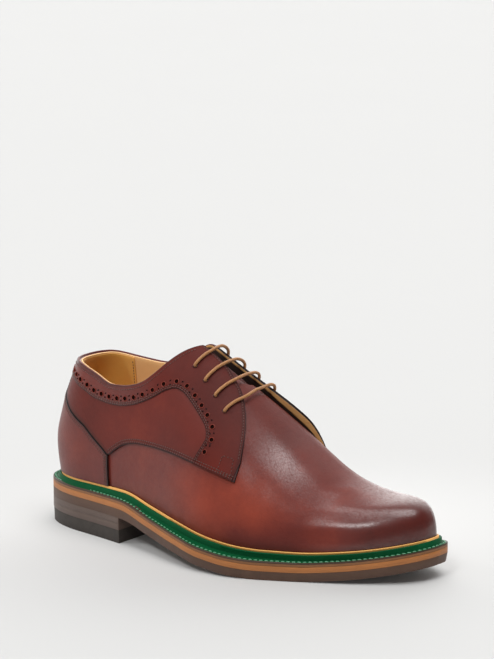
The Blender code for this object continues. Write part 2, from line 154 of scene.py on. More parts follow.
def smoothLine(points, count):
    # cubic through a few given points, spread along their own chords
    points = np.array(points, float)
    length = pathLength(points)
    table = np.column_stack([length, points])
    at = np.linspace(0, length[-1], count)
    return np.stack([tableCurve(table, 1 + k, at) for k in range(points.shape[1])], -1)


soleEdge = sideCurves(solePlan["sections"], 2)
underside = easedCurve(solePlan["sections"], 3, 2)
soleMiddle = easedCurve(solePlan["centre"], 1, 2)
lastEdge = sideCurves(lastForm["sections"], 6)
crownLine, crownHeight, wallFullness, roofFullness = [easedCurve(lastForm["sections"], column, 6)
                                                      for column in range(3, 7)]
backCurve = easedCurve(lastForm["back"], 1, 4)


# the last

def planRound(station, tip):
    # along-shoe position, and the width left by the rounds of heel and toe
    heelPower, toePower = 2 / solePlan["heelRound"], 2 / solePlan["toeRound"]
    fan = ramp(station, heelAxis, 0) * quarterTurn
    nose = ramp(station, toeAxis, tip) * quarterTurn
    x = np.clip(station, heelAxis, toeAxis) + (tip - toeAxis) * np.sin(nose) ** toePower
    left = np.cos(fan) ** heelPower * np.cos(nose) ** toePower
    return x, np.sin(fan) ** heelPower, np.where(left < sliver, 0, left)


def featherHeight(x):
    return underside(x) + weltBase


def crownRise(x):
    fall = ramp(x, lastForm["crownAxis"], toeTip)
    rise = np.maximum(1 - fall ** lastForm["crownRound"], 0) ** (1 / lastForm["crownRound"])
    return (crownHeight(x) - featherHeight(x)) * rise


def lastPoint(side, station, angle):
    # angle runs from 0 at the feather line to a quarter turn on the crown line
    station, angle = np.broadcast_arrays(np.asarray(station, float), np.asarray(angle, float))
    x, back, left = planRound(station, toeTip)
    up = np.sin(np.clip(angle, 0, quarterTurn)) ** (2 / wallFullness(x))
    across = np.maximum(np.cos(angle), 0) ** (2 / roofFullness(x))
    across = np.where(across < sliver, 0, across)
    across = across * (1 - lastForm["tuck"] * np.clip(1 - up / lastForm["tuckHeight"], 0, 1) ** 2)
    z = featherHeight(x) + crownRise(x) * up
    x = x - (heelAxis - backCurve(z)) * back
    y = crownLine(x) + (lastEdge[side](x) - crownLine(x)) * across * left
    return np.stack([x, y, z], -1)


def sideNormal(side, station, angle, ds=0.6, da=0.004):
    low, high = np.maximum(station - ds, 0), np.minimum(station + ds, toeTip)
    along = lastPoint(side, high, angle) - lastPoint(side, low, angle)
    under, over = np.maximum(angle - da, 0), np.minimum(angle + da, quarterTurn)
    rise = lastPoint(side, station, over) - lastPoint(side, station, under)
    return unit(np.cross(along, rise) * -side)


def skinNormal(side, station, angle):
    # both sides share one normal where they meet
    n = sideNormal(side, station, angle)
    both = unit(n + sideNormal(-side, station, angle))
    seam = (station < nearly) | (angle > quarterTurn - nearly)
    n = np.where(seam[..., None], both, n)
    return np.where((station > toeTip - nearly)[..., None], np.array([1.0, 0, 0]), n)


def skinPoint(side, station, angle, lift):
    # a point standing a given distance off the last
    station, angle = np.broadcast_arrays(np.asarray(station, float), np.asarray(angle, float))
    lift = np.broadcast_to(np.asarray(lift, float), angle.shape)
    return lastPoint(side, station, angle) + skinNormal(side, station, angle) * lift[..., None]


def angleAtHeight(station, height):
    x, _, _ = planRound(station, toeTip)
    up = np.clip((height - featherHeight(x)) / np.maximum(crownRise(x), nearly), 0, 1)
    return np.arcsin(up ** (wallFullness(x) / 2))


def angleFromCrown(side, station, distance):
    x, _, _ = planRound(station, toeTip)
    half = np.abs(lastEdge[side](x) - crownLine(x))
    return np.arccos(np.clip(distance / half, 0, 1) ** (roofFullness(x) / 2))


def slide(side, station, angle, move, stationStep=0.3, angleStep=-0.003):
    # station and angle of the point that lies a short way off along the last
    goal = lastPoint(side, station, angle) + move
    for _ in range(2):
        here = lastPoint(side, station, angle)
        ds = (lastPoint(side, station + stationStep, angle) - here) / stationStep
        da = (lastPoint(side, station, angle + angleStep) - here) / angleStep
        gap = goal - here
        ss, sa, aa = (ds * ds).sum(-1), (ds * da).sum(-1), (da * da).sum(-1)
        gs, ga = (gap * ds).sum(-1), (gap * da).sum(-1)
        det = np.maximum(ss * aa - sa * sa, tiny)
        station = station + (gs * aa - ga * sa) / det
        angle = np.clip(angle + (ga * ss - gs * sa) / det, 0.001, quarterTurn)
    return station, angle


def beside(side, station, angle, distance):
    # a line on the last beside another one, to the left of its run when distance is positive
    along = unit(np.gradient(lastPoint(side, station, angle), axis=0))
    across = np.cross(skinNormal(side, station, angle), along)
    return slide(side, station, angle, across * distance)


def evenRun(side, station, angle, count):
    # the same line with its points spread evenly along it
    length = pathLength(lastPoint(side, station, angle))
    at = np.linspace(0, length[-1], count)
    return np.interp(at, length, station), np.interp(at, length, angle)


# sole and foot outlines

def loopNormals(loop):
    tangent = np.roll(loop, -1, 0) - np.roll(loop, 1, 0)
    normal = unit(np.stack([tangent[:, 1], -tangent[:, 0]], -1))
    outward = np.sum(normal * (loop[:, :2] - loop[:, :2].mean(0)), -1).mean()
    return normal * math.copysign(1, outward)


def movedOut(loop, distance):
    moved = loop.copy()
    moved[:, :2] += loopNormals(loop) * distance
    return moved


noseShares = 1 - (1 - np.linspace(0, 1, 41)[1:]) ** 1.6
ringStations = np.concatenate([chained((0, heelAxis, 41), (heelAxis, toeAxis, 104)),
                               toeAxis + (soleLength - toeAxis) * noseShares])


def soleLoop(inset, rise, stations=ringStations, openEnd=False):
    x, back, left = planRound(stations, soleLength)
    x = x - heelAxis * back
    rails = [np.stack([x, soleMiddle(x) + (soleEdge[side](x) - soleMiddle(x)) * left, 0 * x], -1)
             for side in bothSides]
    last = len(x) if openEnd else len(x) - 1
    loop = movedOut(np.concatenate([rails[0], rails[1][1:last][::-1]]), -inset)
    loop[:, 2] = underside(loop[:, 0]) + rise
    return loop


def noseStation(height):
    x = np.linspace(lastForm["crownAxis"], toeTip, 4000)
    front = x[crownRise(x) >= height - tiny][-1]
    share = ((front - toeAxis) / (toeTip - toeAxis)) ** (solePlan["toeRound"] / 2)
    return toeAxis + (toeTip - toeAxis) * math.asin(share) / quarterTurn


def footLoop(height, distance):
    # level line of the last at a height over its feather line, moved outwards
    stations = ringStations.copy()
    front = stations > toeAxis
    nose = (stations[front] - toeAxis) / (soleLength - toeAxis)
    stations[front] = toeAxis + (noseStation(height) - toeAxis) * nose
    x, _, _ = planRound(stations, toeTip)
    angle = angleAtHeight(stations, featherHeight(x) + height)
    angle[-1] = quarterTurn
    rails = [lastPoint(side, stations, angle) for side in bothSides]
    loop = movedOut(np.concatenate([rails[0], rails[1][1:-1][::-1]]), distance)
    loop[:, 2] = featherHeight(loop[:, 0]) + height
    return loop


outline = soleLoop(0, 0)
planCentre = np.append((outline.min(0) + outline.max(0))[:2] / 2, 0)


def placed(points):
    # millimetres on the last to the frame's metres
    return (np.asarray(points, float) - planCentre) * mm


# mesh helpers

meshRules = {"weld": 0.004, "sliver": 0.002, "bevelAngle": 55, "bevelSegments": 2, "footMiddle": (0.006, 0.045)}


def setUp(thing, **settings):
    for key, value in settings.items():
        setattr(thing, key, value)
    return thing


def linked(name, data):
    made = bpy.data.objects.new(name, data)
    bpy.context.collection.objects.link(made)
    return made


def meshFrom(bm, name):
    mesh = bpy.data.meshes.new(name)
    bm.to_mesh(mesh)
    bm.free()
    return mesh


def addSheet(bm, points, values=None):
    # a grid laid over an array of places, with named values kept on its vertices
    rows, columns = points.shape[:2]
    floats = bm.verts.layers.float
    layers = {key: floats.get(key) or floats.new(key) for key in values or {}}
    made = bmesh.ops.create_grid(bm, x_segments=rows - 1, y_segments=columns - 1, size=1)["verts"]
    spots = placed(points)
    for vert in made:
        i = round((vert.co.x + 1) / 2 * (rows - 1))
        j = round((vert.co.y + 1) / 2 * (columns - 1))
        vert.co = spots[i, j]
        for key, layer in layers.items():
            vert[layer] = values[key][i, j]


def fillLayer(bm, key, value):
    layer = bm.verts.layers.float.new(key)
    for vert in bm.verts:
        vert[layer] = value


def mergeMesh(bm, weld=meshRules["weld"], slivers=False):
    bmesh.ops.remove_doubles(bm, verts=bm.verts, dist=weld * mm)
    if slivers:
        bmesh.ops.dissolve_degenerate(bm, edges=bm.edges, dist=meshRules["sliver"] * mm)
    bmesh.ops.recalc_face_normals(bm, faces=bm.faces)


def faceOutwards(bm):
    # an open sheet is turned to face away from the middle of the foot's room
    lean = 0
    for face in bm.faces:
        middle = face.calc_center_median()
        lean += face.normal.dot(middle - Vector((middle.x, *meshRules["footMiddle"])))
    if lean < 0:
        bmesh.ops.reverse_faces(bm, faces=bm.faces)


def bakeModifiers(piece):
    depsgraph = bpy.context.evaluated_depsgraph_get()
    done = bpy.data.meshes.new_from_object(piece.evaluated_get(depsgraph))
    done.name = piece.name
    piece.modifiers.clear()
    piece.data = done


def addPiece(bm, name, materials, slot, nodes=(), wall=0, edge=0, cutter=None, sharp=42):
    piece = linked(name, meshFrom(bm, name))
    for material in materials:
        piece.data.materials.append(material)
    if wall:
        setUp(piece.modifiers.new("wall", "SOLIDIFY"), thickness=wall * mm, offset=-1,
              material_offset=len(materials) - 1, material_offset_rim=0)
    if cutter:
        setUp(piece.modifiers.new("holes", "BOOLEAN"), object=cutter, solver="EXACT")
    if edge:
        setUp(piece.modifiers.new("edge", "BEVEL"), width=edge * mm, segments=meshRules["bevelSegments"],
              limit_method="ANGLE", angle_limit=math.radians(meshRules["bevelAngle"]))
    if wall or edge or cutter:
        bakeModifiers(piece)
    piece.data.shade_smooth()
    piece.data.set_sharp_from_angle(angle=math.radians(sharp))
    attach(piece, "root")
    if nodes:
        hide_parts(*nodes)
    return piece


def makeShell(name, sheets, materials, slot, nodes=(), wall=0, edge=0, cutter=None):
    # a leather shell from one or two sheets of places and values
    bm = bmesh.new()
    for points, values in sheets:
        addSheet(bm, points, values)
    mergeMesh(bm, slivers=True)
    faceOutwards(bm)
    return addPiece(bm, name, materials, slot, nodes, wall, edge, cutter)


def makeSlab(name, lower, upper, material, slot, rounding, node=None, columns=14):
    # closed slab between two outlines that share their numbering
    bm = bmesh.new()
    count = len(lower)
    rail = count // 2 + 1
    share = np.linspace(0, 1, columns)[None, :, None]
    for loop in (lower, upper):
        lateral, medial = loop[:rail], loop[(-np.arange(rail)) % count]
        addSheet(bm, lateral[:, None] + (medial - lateral)[:, None] * share)
    addSheet(bm, np.stack([np.concatenate([loop, loop[:1]]) for loop in (lower, upper)], 1))
    mergeMesh(bm, slivers=True)
    return addPiece(bm, name, [material], slot, [node or name], 0, rounding)


def makeRing(name, loops, materials, slot, sharp):
    # ring whose section runs through the loops in turn and closes on the first
    bm = bmesh.new()
    section = np.stack(loops + loops[:1], 1)
    addSheet(bm, np.concatenate([section, section[:1]], 0))
    mergeMesh(bm)
    return addPiece(bm, name, materials, slot, [name], sharp=sharp)


def spacedShares(count, crowd):
    # shares from 0 to 1, closer together at both ends
    t = np.linspace(0, 1, count)
    return t * (1 - crowd) + (0.5 - 0.5 * np.cos(math.pi * t)) * crowd


def panelGrid(side, stations, low, high, shares):
    # stations and angles of a panel between two lines on the last, and how far each is from those lines
    angle = low[:, None] + (high - low)[:, None] * np.linspace(0, 1, 120)
    run = lastPoint(side, stations[:, None], angle)
    length = np.stack([pathLength(row) for row in run])
    level = np.stack([np.interp(shares * reach[-1], reach, row) for reach, row in zip(length, angle)])
    away = length[:, -1:] * np.minimum(shares, 1 - shares)
    return np.broadcast_to(stations[:, None], level.shape), level, away


def edgeShade(away, width):
    return np.exp(-(away / width) ** 2)


def sewnEdge(away, width, second, inset, seamWidth=1.1):
    # dark at the dyed cut edge and, more weakly, along the seam beside it, painted shade in the stitched groove
    return np.maximum(edgeShade(away, width), second * edgeShade(away - inset, seamWidth))


def softSpotsAt(points, spots):
    # hand-rubbed colour, partly painted light and shade, or gloss: the sum of soft spots (station, side reach y,
    # height, size, strength)
    total = np.zeros(points.shape[:-1])
    for x, y, z, size, strength in spots:
        away = ((points - np.array([x, y, z])) ** 2).sum(-1)
        total += strength * np.exp(-away / size**2)
    return total


def rubAndLightAt(points, form):
    # rubbed patina together with painted light and shade
    return form["rubAndLightBase"] + softSpotsAt(points, form["rub"])


# shared shader effects

def feed(tree, socket, value):
    # a number, a colour or another node's output
    if isinstance(value, tuple):
        socket.default_value = (*value, 1)
    elif isinstance(value, (int, float)):
        socket.default_value = value
    else:
        tree.links.new(value, socket)


def newGroup(name, inputs, outputs):
    # sockets take their kind from their first value; an output called Color is a colour
    tree = bpy.data.node_groups.new(name, "ShaderNodeTree")
    for label, value in inputs.items():
        kind = "Float" if isinstance(value, float) else "Vector" if len(value) == 3 else "Color"
        socket = tree.interface.new_socket(label, in_out="INPUT", socket_type="NodeSocket" + kind)
        socket.default_value = value
    for label in outputs:
        kind = "Color" if label == "Color" else "Float"
        tree.interface.new_socket(label, in_out="OUTPUT", socket_type="NodeSocket" + kind)
    return tree, tree.nodes.new("NodeGroupInput").outputs, tree.nodes.new("NodeGroupOutput").inputs


def addNode(tree, kind, **settings):
    return setUp(tree.nodes.new(kind), **settings)


def mathNode(tree, operation, *values, clamp=False):
    node = addNode(tree, "ShaderNodeMath", operation=operation, use_clamp=clamp)
    for socket, value in zip(node.inputs, values):
        feed(tree, socket, value)
    return node.outputs[0]


def weighted(tree, *parts):
    # sum of values, each with its weight
    total = None
    for value, weight in parts:
        part = mathNode(tree, "MULTIPLY", value, weight)
        total = part if total is None else mathNode(tree, "ADD", total, part)
    return total


def mixColour(tree, factor, a, b):
    node = addNode(tree, "ShaderNodeMix", data_type="RGBA", blend_type="MIX")
    for index, value in ((0, factor), (6, a), (7, b)):
        feed(tree, node.inputs[index], value)
    return node.outputs[2]


def noiseNode(tree, vector, scale, detail, roughness=0.5):
    node = addNode(tree, "ShaderNodeTexNoise")
    for label, value in (("Vector", vector), ("Scale", scale), ("Detail", detail), ("Roughness", roughness)):
        feed(tree, node.inputs[label], value)
    return node.outputs[0]


def stretched(tree, vector, scale):
    node = addNode(tree, "ShaderNodeMapping")
    node.inputs["Scale"].default_value = scale
    feed(tree, node.inputs["Vector"], vector)
    return node.outputs[0]


# scale, detail and roughness of each noise; weights of pores, wrinkle and swell, and of drift and streak
grainForm = {"wrinkle": (420, 4, 0.6), "swell": (60, 2, 0.5), "drift": (38, 4, 0.62), "streak": (330, 3, 0.6),
             "brush": (1.0, 0.12, 1.0), "heights": (0.35, 0.7, 0.9), "drifts": (0.78, 0.22)}


def makeCalfGrain():
    # fine pores and faint wrinkles of box calf, and the drift of its dye
    tree, given, out = newGroup("calfGrain", {"Vector": (0, 0, 0), "Pore Size": 1500.0},
                                ["Height", "Drift", "Pores"])
    vector = given["Vector"]
    pores = addNode(tree, "ShaderNodeTexVoronoi", feature="SMOOTH_F1")
    feed(tree, pores.inputs["Vector"], vector)
    feed(tree, pores.inputs["Scale"], given["Pore Size"])
    pores = pores.outputs["Distance"]
    wrinkle, swell, drift = [noiseNode(tree, vector, *grainForm[key]) for key in ("wrinkle", "swell", "drift")]
    streak = noiseNode(tree, stretched(tree, vector, grainForm["brush"]), *grainForm["streak"])
    feed(tree, out["Height"], weighted(tree, *zip((pores, wrinkle, swell), grainForm["heights"])))
    feed(tree, out["Drift"], weighted(tree, *zip((drift, streak), grainForm["drifts"])))
    feed(tree, out["Pores"], pores)
    return tree


def makeRubAndLightDye():
    # dark, middle and light dye by the rub value, which carries rubbed patina and painted light and shade, with dark
    # edges
    tree, given, out = newGroup("rubAndLightDye", {
        "Dark": (0.05, 0.01, 0.01, 1), "Middle": (0.15, 0.03, 0.02, 1), "Light": (0.3, 0.08, 0.03, 1),
        "Edge Dye And Shade": (0.02, 0.006, 0.005, 1), "RubAndLight": 0.5, "Drift": 0.5, "Drift Share": 0.5, "Edge": 0.0,
    }, ["Color", "Gloss Loss"])
    drift = mathNode(tree, "MULTIPLY", mathNode(tree, "SUBTRACT", given["Drift"], 0.5), given["Drift Share"])
    rub = mathNode(tree, "ADD", given["RubAndLight"], drift, clamp=True)
    low = mathNode(tree, "MULTIPLY", rub, 2, clamp=True)
    high = mathNode(tree, "SUBTRACT", mathNode(tree, "MULTIPLY", rub, 2), 1, clamp=True)
    colour = mixColour(tree, low, given["Dark"], given["Middle"])
    colour = mixColour(tree, high, colour, given["Light"])
    feed(tree, out["Color"], mixColour(tree, given["Edge"], colour, given["Edge Dye And Shade"]))
    feed(tree, out["Gloss Loss"], mathNode(tree, "MULTIPLY", drift, 0.25))
    return tree


cutForm = {"stretch": (1, 1, 9), "streak": (130, 5, 0.6), "blotch": (45, 3, 0.5), "shares": (0.6, 0.6),
           "strength": 0.4, "depth": 0.08}


def makeCutEdge():
    # the layered, slightly streaked look of a trimmed and waxed leather edge
    tree, given, out = newGroup("cutEdge", {
        "Vector": (0, 0, 0), "Base": (0.1, 0.05, 0.03, 1), "Streak": (0.05, 0.02, 0.01, 1), "Share": 0.5,
    }, ["Color", "Height"])
    streak = noiseNode(tree, stretched(tree, given["Vector"], cutForm["stretch"]), *cutForm["streak"])
    blotch = noiseNode(tree, given["Vector"], *cutForm["blotch"])
    mask = weighted(tree, *zip((streak, blotch), cutForm["shares"]))
    mask = mathNode(tree, "MULTIPLY", mask, given["Share"])
    feed(tree, out["Color"], mixColour(tree, mask, given["Base"], given["Streak"]))
    feed(tree, out["Height"], mathNode(tree, "ADD", streak, blotch))
    return tree


groups = {"grain": makeCalfGrain(), "dye": makeRubAndLightDye(), "cut": makeCutEdge()}


def newMaterial(name, roughness, coat, coatRoughness, specular, sheen=0.0):
    material = bpy.data.materials.new(name)
    material.use_nodes = True
    tree = material.node_tree
    shader = tree.nodes["Principled BSDF"].inputs
    for label, value in (("Roughness", roughness), ("Coat Weight", coat), ("Coat Roughness", coatRoughness),
                         ("Specular IOR Level", specular), ("Sheen Weight", sheen)):
        feed(tree, shader[label], value)
    return material, tree, shader


def objectVector(tree):
    return addNode(tree, "ShaderNodeTexCoord").outputs["Object"]


def attributeValue(tree, name):
    return addNode(tree, "ShaderNodeAttribute", attribute_name=name).outputs["Fac"]


def useGroup(tree, key, values):
    node = addNode(tree, "ShaderNodeGroup", node_tree=groups[key])
    for label, value in values.items():
        feed(tree, node.inputs[label], value)
    return node.outputs


def useGrain(tree, poreSize):
    return useGroup(tree, "grain", {"Vector": objectVector(tree), "Pore Size": poreSize})


def bumpInto(tree, shader, height, strength, distance):
    bump = addNode(tree, "ShaderNodeBump")
    for label, value in (("Strength", strength), ("Distance", distance * mm), ("Height", height)):
        feed(tree, bump.inputs[label], value)
    feed(tree, shader["Normal"], bump.outputs[0])


calfFinish = {
    "dark": (0.041, 0.0058, 0.0045), "middle": (0.132, 0.0150, 0.0085), "light": (0.300, 0.042, 0.017),
    "edgeDyeAndShade": (0.014, 0.0050, 0.0045), "driftShare": 0.60, "polish": 1.0, "coatRoughness": 0.23,
    "grainDepth": 0.14, "grainStrength": 0.75, "poreSize": 850.0, "poreShare": 1.2, "poreFree": 1.4,
    "poreRough": 0.12, "glossSmooth": 0.18, "polished": ("vampCalf", "bandCalf"),
}


def makeCalf(name, roughness, specular, coat=0.0, darker=0.0, driftShare=calfFinish["driftShare"]):
    # burnished calf; rub with its painted light and shade, edge with its painted seam shade, and, on the vamp and
    # the band, gloss come with each panel
    values = calfFinish
    material, tree, shader = newMaterial(name, roughness, coat, values["coatRoughness"], specular)
    grain = useGrain(tree, values["poreSize"])
    dye = useGroup(tree, "dye", {
        "RubAndLight": mathNode(tree, "SUBTRACT", attributeValue(tree, "rub"), darker), "Drift": grain["Drift"],
        "Edge": attributeValue(tree, "edge"), "Dark": values["dark"], "Middle": values["middle"],
        "Light": values["light"], "Edge Dye And Shade": values["edgeDyeAndShade"], "Drift Share": driftShare})
    feed(tree, shader["Base Color"], dye["Color"])
    rough = mathNode(tree, "ADD", mathNode(tree, "MULTIPLY", grain["Pores"], values["poreRough"]), roughness)
    if name in values["polished"]:
        gloss = attributeValue(tree, "gloss")
        rough = mathNode(tree, "SUBTRACT", rough, mathNode(tree, "MULTIPLY", gloss, values["glossSmooth"]))
        pitted = mathNode(tree, "MULTIPLY", grain["Pores"], values["poreShare"])
        polish = mathNode(tree, "MULTIPLY", mathNode(tree, "MULTIPLY", gloss, values["polish"]),
                          mathNode(tree, "SUBTRACT", values["poreFree"], pitted))
        feed(tree, shader["Coat Weight"], polish)
    feed(tree, shader["Roughness"], mathNode(tree, "SUBTRACT", rough, dye["Gloss Loss"]))
    bumpInto(tree, shader, grain["Height"], values["grainStrength"], values["grainDepth"])
    return material


def makeGrained(name, base, dark, roughness, specular, poreSize, depth, nap=0.0, paintedThroatShade=None):
    # plain dyed or tanned leather; where a painted shade colour is given, it darkens towards it by the panel's own
    # shade values, painting the shadow in the throat
    material, tree, shader = newMaterial(name, roughness, 0.0, 0.3, specular, nap)
    grain = useGrain(tree, poreSize)
    colour = mixColour(tree, grain["Drift"], dark, base)
    if paintedThroatShade:
        colour = mixColour(tree, attributeValue(tree, "shade"), colour, paintedThroatShade)
    feed(tree, shader["Base Color"], colour)
    bumpInto(tree, shader, grain["Height"], 0.5, depth)
    return material


def makeLining(name, base, dark, nap, paintedThroatShade=None):
    # vegetable-tanned lining: smooth at the front, brushed at the heel grip, darkened by painted shade in the throat
    return makeGrained(name, base, dark, 0.62, 0.3, 1100.0, 0.09, nap, paintedThroatShade)


def makeEdgeLeather(name, base, streak, share, roughness, coat):
    material, tree, shader = newMaterial(name, roughness, coat, 0.3, 0.4)
    cut = useGroup(tree, "cut", {"Vector": objectVector(tree), "Base": base, "Streak": streak, "Share": share})
    feed(tree, shader["Base Color"], cut["Color"])
    bumpInto(tree, shader, cut["Height"], cutForm["strength"], cutForm["depth"])
    return material


# turns along a millimetre and around the cord; noise of the fuzz; weights of ply and fuzz
threadForm = {"twist": (5.2, 4 * math.pi), "fuzz": (900, 3, 0.5), "shares": (0.75, 0.3),
              "strength": 0.6, "depth": 0.18}


def makeThread(name, base, dark, roughness):
    # plied thread: the twist follows the length kept on each stitch or cord
    material, tree, shader = newMaterial(name, roughness, 0.1, 0.4, 0.3, 0.1)
    places = [attributeValue(tree, key) for key in ("along", "around")]
    phase = weighted(tree, *zip(places, threadForm["twist"]))
    ply = mathNode(tree, "ABSOLUTE", mathNode(tree, "SINE", phase))
    fuzz = noiseNode(tree, objectVector(tree), *threadForm["fuzz"])
    shade = weighted(tree, *zip((ply, fuzz), threadForm["shares"]))
    feed(tree, shader["Base Color"], mixColour(tree, shade, dark, base))
    bumpInto(tree, shader, ply, threadForm["strength"], threadForm["depth"])
    return material


def makeRubber(name, base, dusty):
    material, tree, shader = newMaterial(name, 0.6, 0.0, 0.3, 0.35)
    dust = noiseNode(tree, objectVector(tree), 260, 4, 0.65)
    feed(tree, shader["Base Color"], mixColour(tree, dust, base, dusty))
    bumpInto(tree, shader, dust, 0.4, 0.08)
    return material


def makeHoleShade(name, colour):
    material, tree, shader = newMaterial(name, 0.95, 0.0, 0.3, 0.0)
    feed(tree, shader["Base Color"], colour)
    return material


skins = {
    "vamp": makeCalf("vampCalf", 0.54, 0.30),
    "panel": makeCalf("panelCalf", 0.44, 0.26, 0.06),
    "counter": makeCalf("counterCalf", 0.42, 0.42, 0.22),
    "band": makeCalf("bandCalf", 0.50, 0.17, 0.0, 0.06, 0.4),
    "lining": makeLining("liningLeather", (0.88, 0.56, 0.26), (0.76, 0.43, 0.17), 0.05),
    # the quarters' lining gets a near-black colour for the painted shade in the throat
    "quarterLining": makeLining("quarterLining", (0.84, 0.50, 0.20), (0.70, 0.38, 0.13), 0.05,
                                (0.022, 0.010, 0.007)),
    "grip": makeLining("heelGripSuede", (0.78, 0.43, 0.10), (0.62, 0.30, 0.055), 0.2),
    "welt": makeGrained("dyedWelt", (0.0004, 0.104, 0.033), (0.0002, 0.047, 0.0135), 0.60, 0.12, 900.0, 0.10),
    "flangeEdge": makeEdgeLeather("flangeEdge", (0.380, 0.160, 0.055), (0.120, 0.052, 0.022), 0.9, 0.5, 0.05),
    "flangeLine": makeEdgeLeather("flangeLine", (0.075, 0.038, 0.020), (0.035, 0.018, 0.010), 0.7, 0.5, 0.05),
    "midsole": makeEdgeLeather("midsoleEdge", (0.560, 0.210, 0.056), (0.250, 0.092, 0.030), 0.7, 0.5, 0.05),
    "outsole": makeEdgeLeather("outsoleEdge", (0.135, 0.070, 0.043), (0.060, 0.030, 0.019), 0.8, 0.5, 0.05),
    "lift": makeEdgeLeather("heelLift", (0.150, 0.102, 0.082), (0.075, 0.048, 0.038), 0.8, 0.48, 0.08),
    "rubber": makeRubber("heelRubber", (0.026, 0.021, 0.018), (0.070, 0.058, 0.050)),
    "rand": makeEdgeLeather("randEdge", (0.98, 0.52, 0.15), (0.70, 0.32, 0.08), 0.7, 0.6, 0.0),
    "thread": makeThread("brownThread", (0.150, 0.058, 0.045), (0.040, 0.014, 0.011), 0.6),
    "weltThread": makeThread("paleGreenThread", (0.20, 0.52, 0.32), (0.02, 0.17, 0.07), 0.6),
    "lace": makeThread("waxedLace", (0.50, 0.235, 0.085), (0.26, 0.105, 0.035), 0.55),
    "hole": makeHoleShade("holeShade", (0.012, 0.0045, 0.0038)),
}
print("materials ready:", len(skins))


# the upper: vamp skin, lining, heel grip

throat = {"half": {-1: 5.0, 1: 11.0}, "end": 160.0, "round": 12.0, "sink": 1.6}
# station, height of the topline on the lateral and the medial side
topline = [(0, 113.5, 113.5), (20, 113.5, 113.5), (32, 113.2, 112.6), (42, 111.8, 111.6), (52.7, 108.3, 111.1),
           (67.6, 103.2, 110.8), (83.7, 104.5, 112), (95.2, 108.7, 115.5), (104.6, 116.7, 120.2),
           (112.3, 124.4, 125), (118.9, 129.6, 129), (123.8, 131.8, 131.6), (128, 132.8, 133.2)]
# station, distance of each facing's edge from the crown line
facing = {-1: [(110, 2.6), (128, 2.8), (135, 3.4), (145, 5.2), (153, 9), (162.5, 14.4), (168.2, 20.4),
               (174.2, 28.3), (177.7, 35.1), (181.5, 45.2)],
          1: [(110, 5.5), (150, 6), (170, 6.5), (185, 8), (193, 10.5), (199, 15), (203, 22)]}
cornerEase = 0.052
toplineHeight = sideCurves(topline, 2)
facingGap = {side: easedCurve(facing[side], 1, 1.5) for side in bothSides}


def collarAngle(side, stations):
    return angleAtHeight(stations, toplineHeight[side](stations))


def quarterTop(side, stations):
    # collar and facing run into each other over a rounded corner
    facingAngle = angleFromCrown(side, stations, facingGap[side](stations))
    both = np.stack([collarAngle(side, stations), facingAngle])
    least = both.min(0)
    return least - cornerEase * np.log(np.exp(-(both - least) / cornerEase).sum(0))


vampForm = {
    "wall": 0.9, "edge": 0.25, "levels": 46,
    # soft troughs: station, y, height, length of reach along x, y and z, depth
    "creases": [(212, -16, 66, 7, 26, 14, 0.35), (226, -6, 62, 6, 24, 12, -0.22), (199, -34, 52, 6, 16, 16, 0.30)],
    # soft ridges of the toe puff and of the vamp's flex: stations and angles, width, height
    "ridges": [([(214, 0.365), (225.5, 0.37), (237.8, 0.425), (249, 0.48), (257, 0.52), (263, 0.54)], 4.6, 0.6),
               ([(212, 0.50), (224.2, 0.575), (234.6, 0.67), (244.6, 0.76), (252, 0.845), (256.5, 0.93),
                 (266.4, 1.05), (272, 1.07)], 5.5, 0.5),
               ([(225, 0.93), (229.3, 0.985), (236.3, 1.15), (241.6, 1.33)], 4.5, 0.45)],
    # where the vamp sinks to the tongue: stations, angles
    "sinkStations": (190, 152), "sinkAngles": (0.9, 1.5),
    # dark line over the welt: height, width, strength
    "footLine": (8.0, 2.2, 0.35),
    # gloss all over, on one spot, and between stations on the toe and behind the throat
    "gloss": 0.07, "shine": (204, -12, 71, 16, 1.0), "toeGloss": (0.88, 222, 262), "waistGloss": (0.45, 165, 125),
    # rubbed colour, partly painted light and shade, such as the lighter low toe wall where the floor's light
    # reflects: station, y, height, size, strength
    "rub": [(178, -52, 44, 30, 0.26), (200, -40, 44, 20, 0.20), (190, -50, 22, 16, -0.24),
            (218, -38, 20, 14, -0.16), (150, -48, 38, 30, 0.20), (95, -33, 45, 30, 0.12),
            (235, -20, 40, 26, 0.10), (285, 15, 32, 30, -0.28), (262, -14, 26, 22, -0.20),
            (190, 0, 88, 22, -0.12), (232, 14, 66, 26, -0.04), (180, 40, 40, 34, 0.25),
            (262, 38, 26, 26, -0.18), (256, 4, 50, 18, 0.16), (248, -24, 27, 14, 0.22)],
    "rubAndLightBase": 0.47,
}


def creased(points, normals, creases):
    for x, y, z, rx, ry, rz, depth in creases:
        away = ((points - np.array([x, y, z])) / np.array([rx, ry, rz])) ** 2
        points = points - normals * (depth * np.exp(-away.sum(-1)))[..., None]
    return points


def ridged(side, points, normals, line, width, height, count=90):
    # a soft ridge raised along a line, fading at both ends
    line = smoothLine(line, count)
    near = np.full(points.shape[:-1], np.inf)
    fade = np.zeros(points.shape[:-1])
    for share, spot in zip(np.linspace(0, 1, count), lastPoint(side, line[:, 0], line[:, 1])):
        away = np.linalg.norm(points - spot, axis=-1)
        fade = np.where(away < near, math.sin(math.pi * share) ** 0.6, fade)
        near = np.minimum(away, near)
    return points + normals * (height * fade * np.exp(-(near / width) ** 2))[..., None]


def upperStations():
    mouth = throat["end"] - throat["round"] * (1 - np.linspace(0, 1, 14) ** 0.6)
    return np.concatenate([chained((0, heelAxis, 34), (heelAxis, mouth[0], 66)), mouth[1:],
                           np.linspace(throat["end"], toeAxis, 78)[1:], toeAxis + (toeTip - toeAxis) * noseShares])


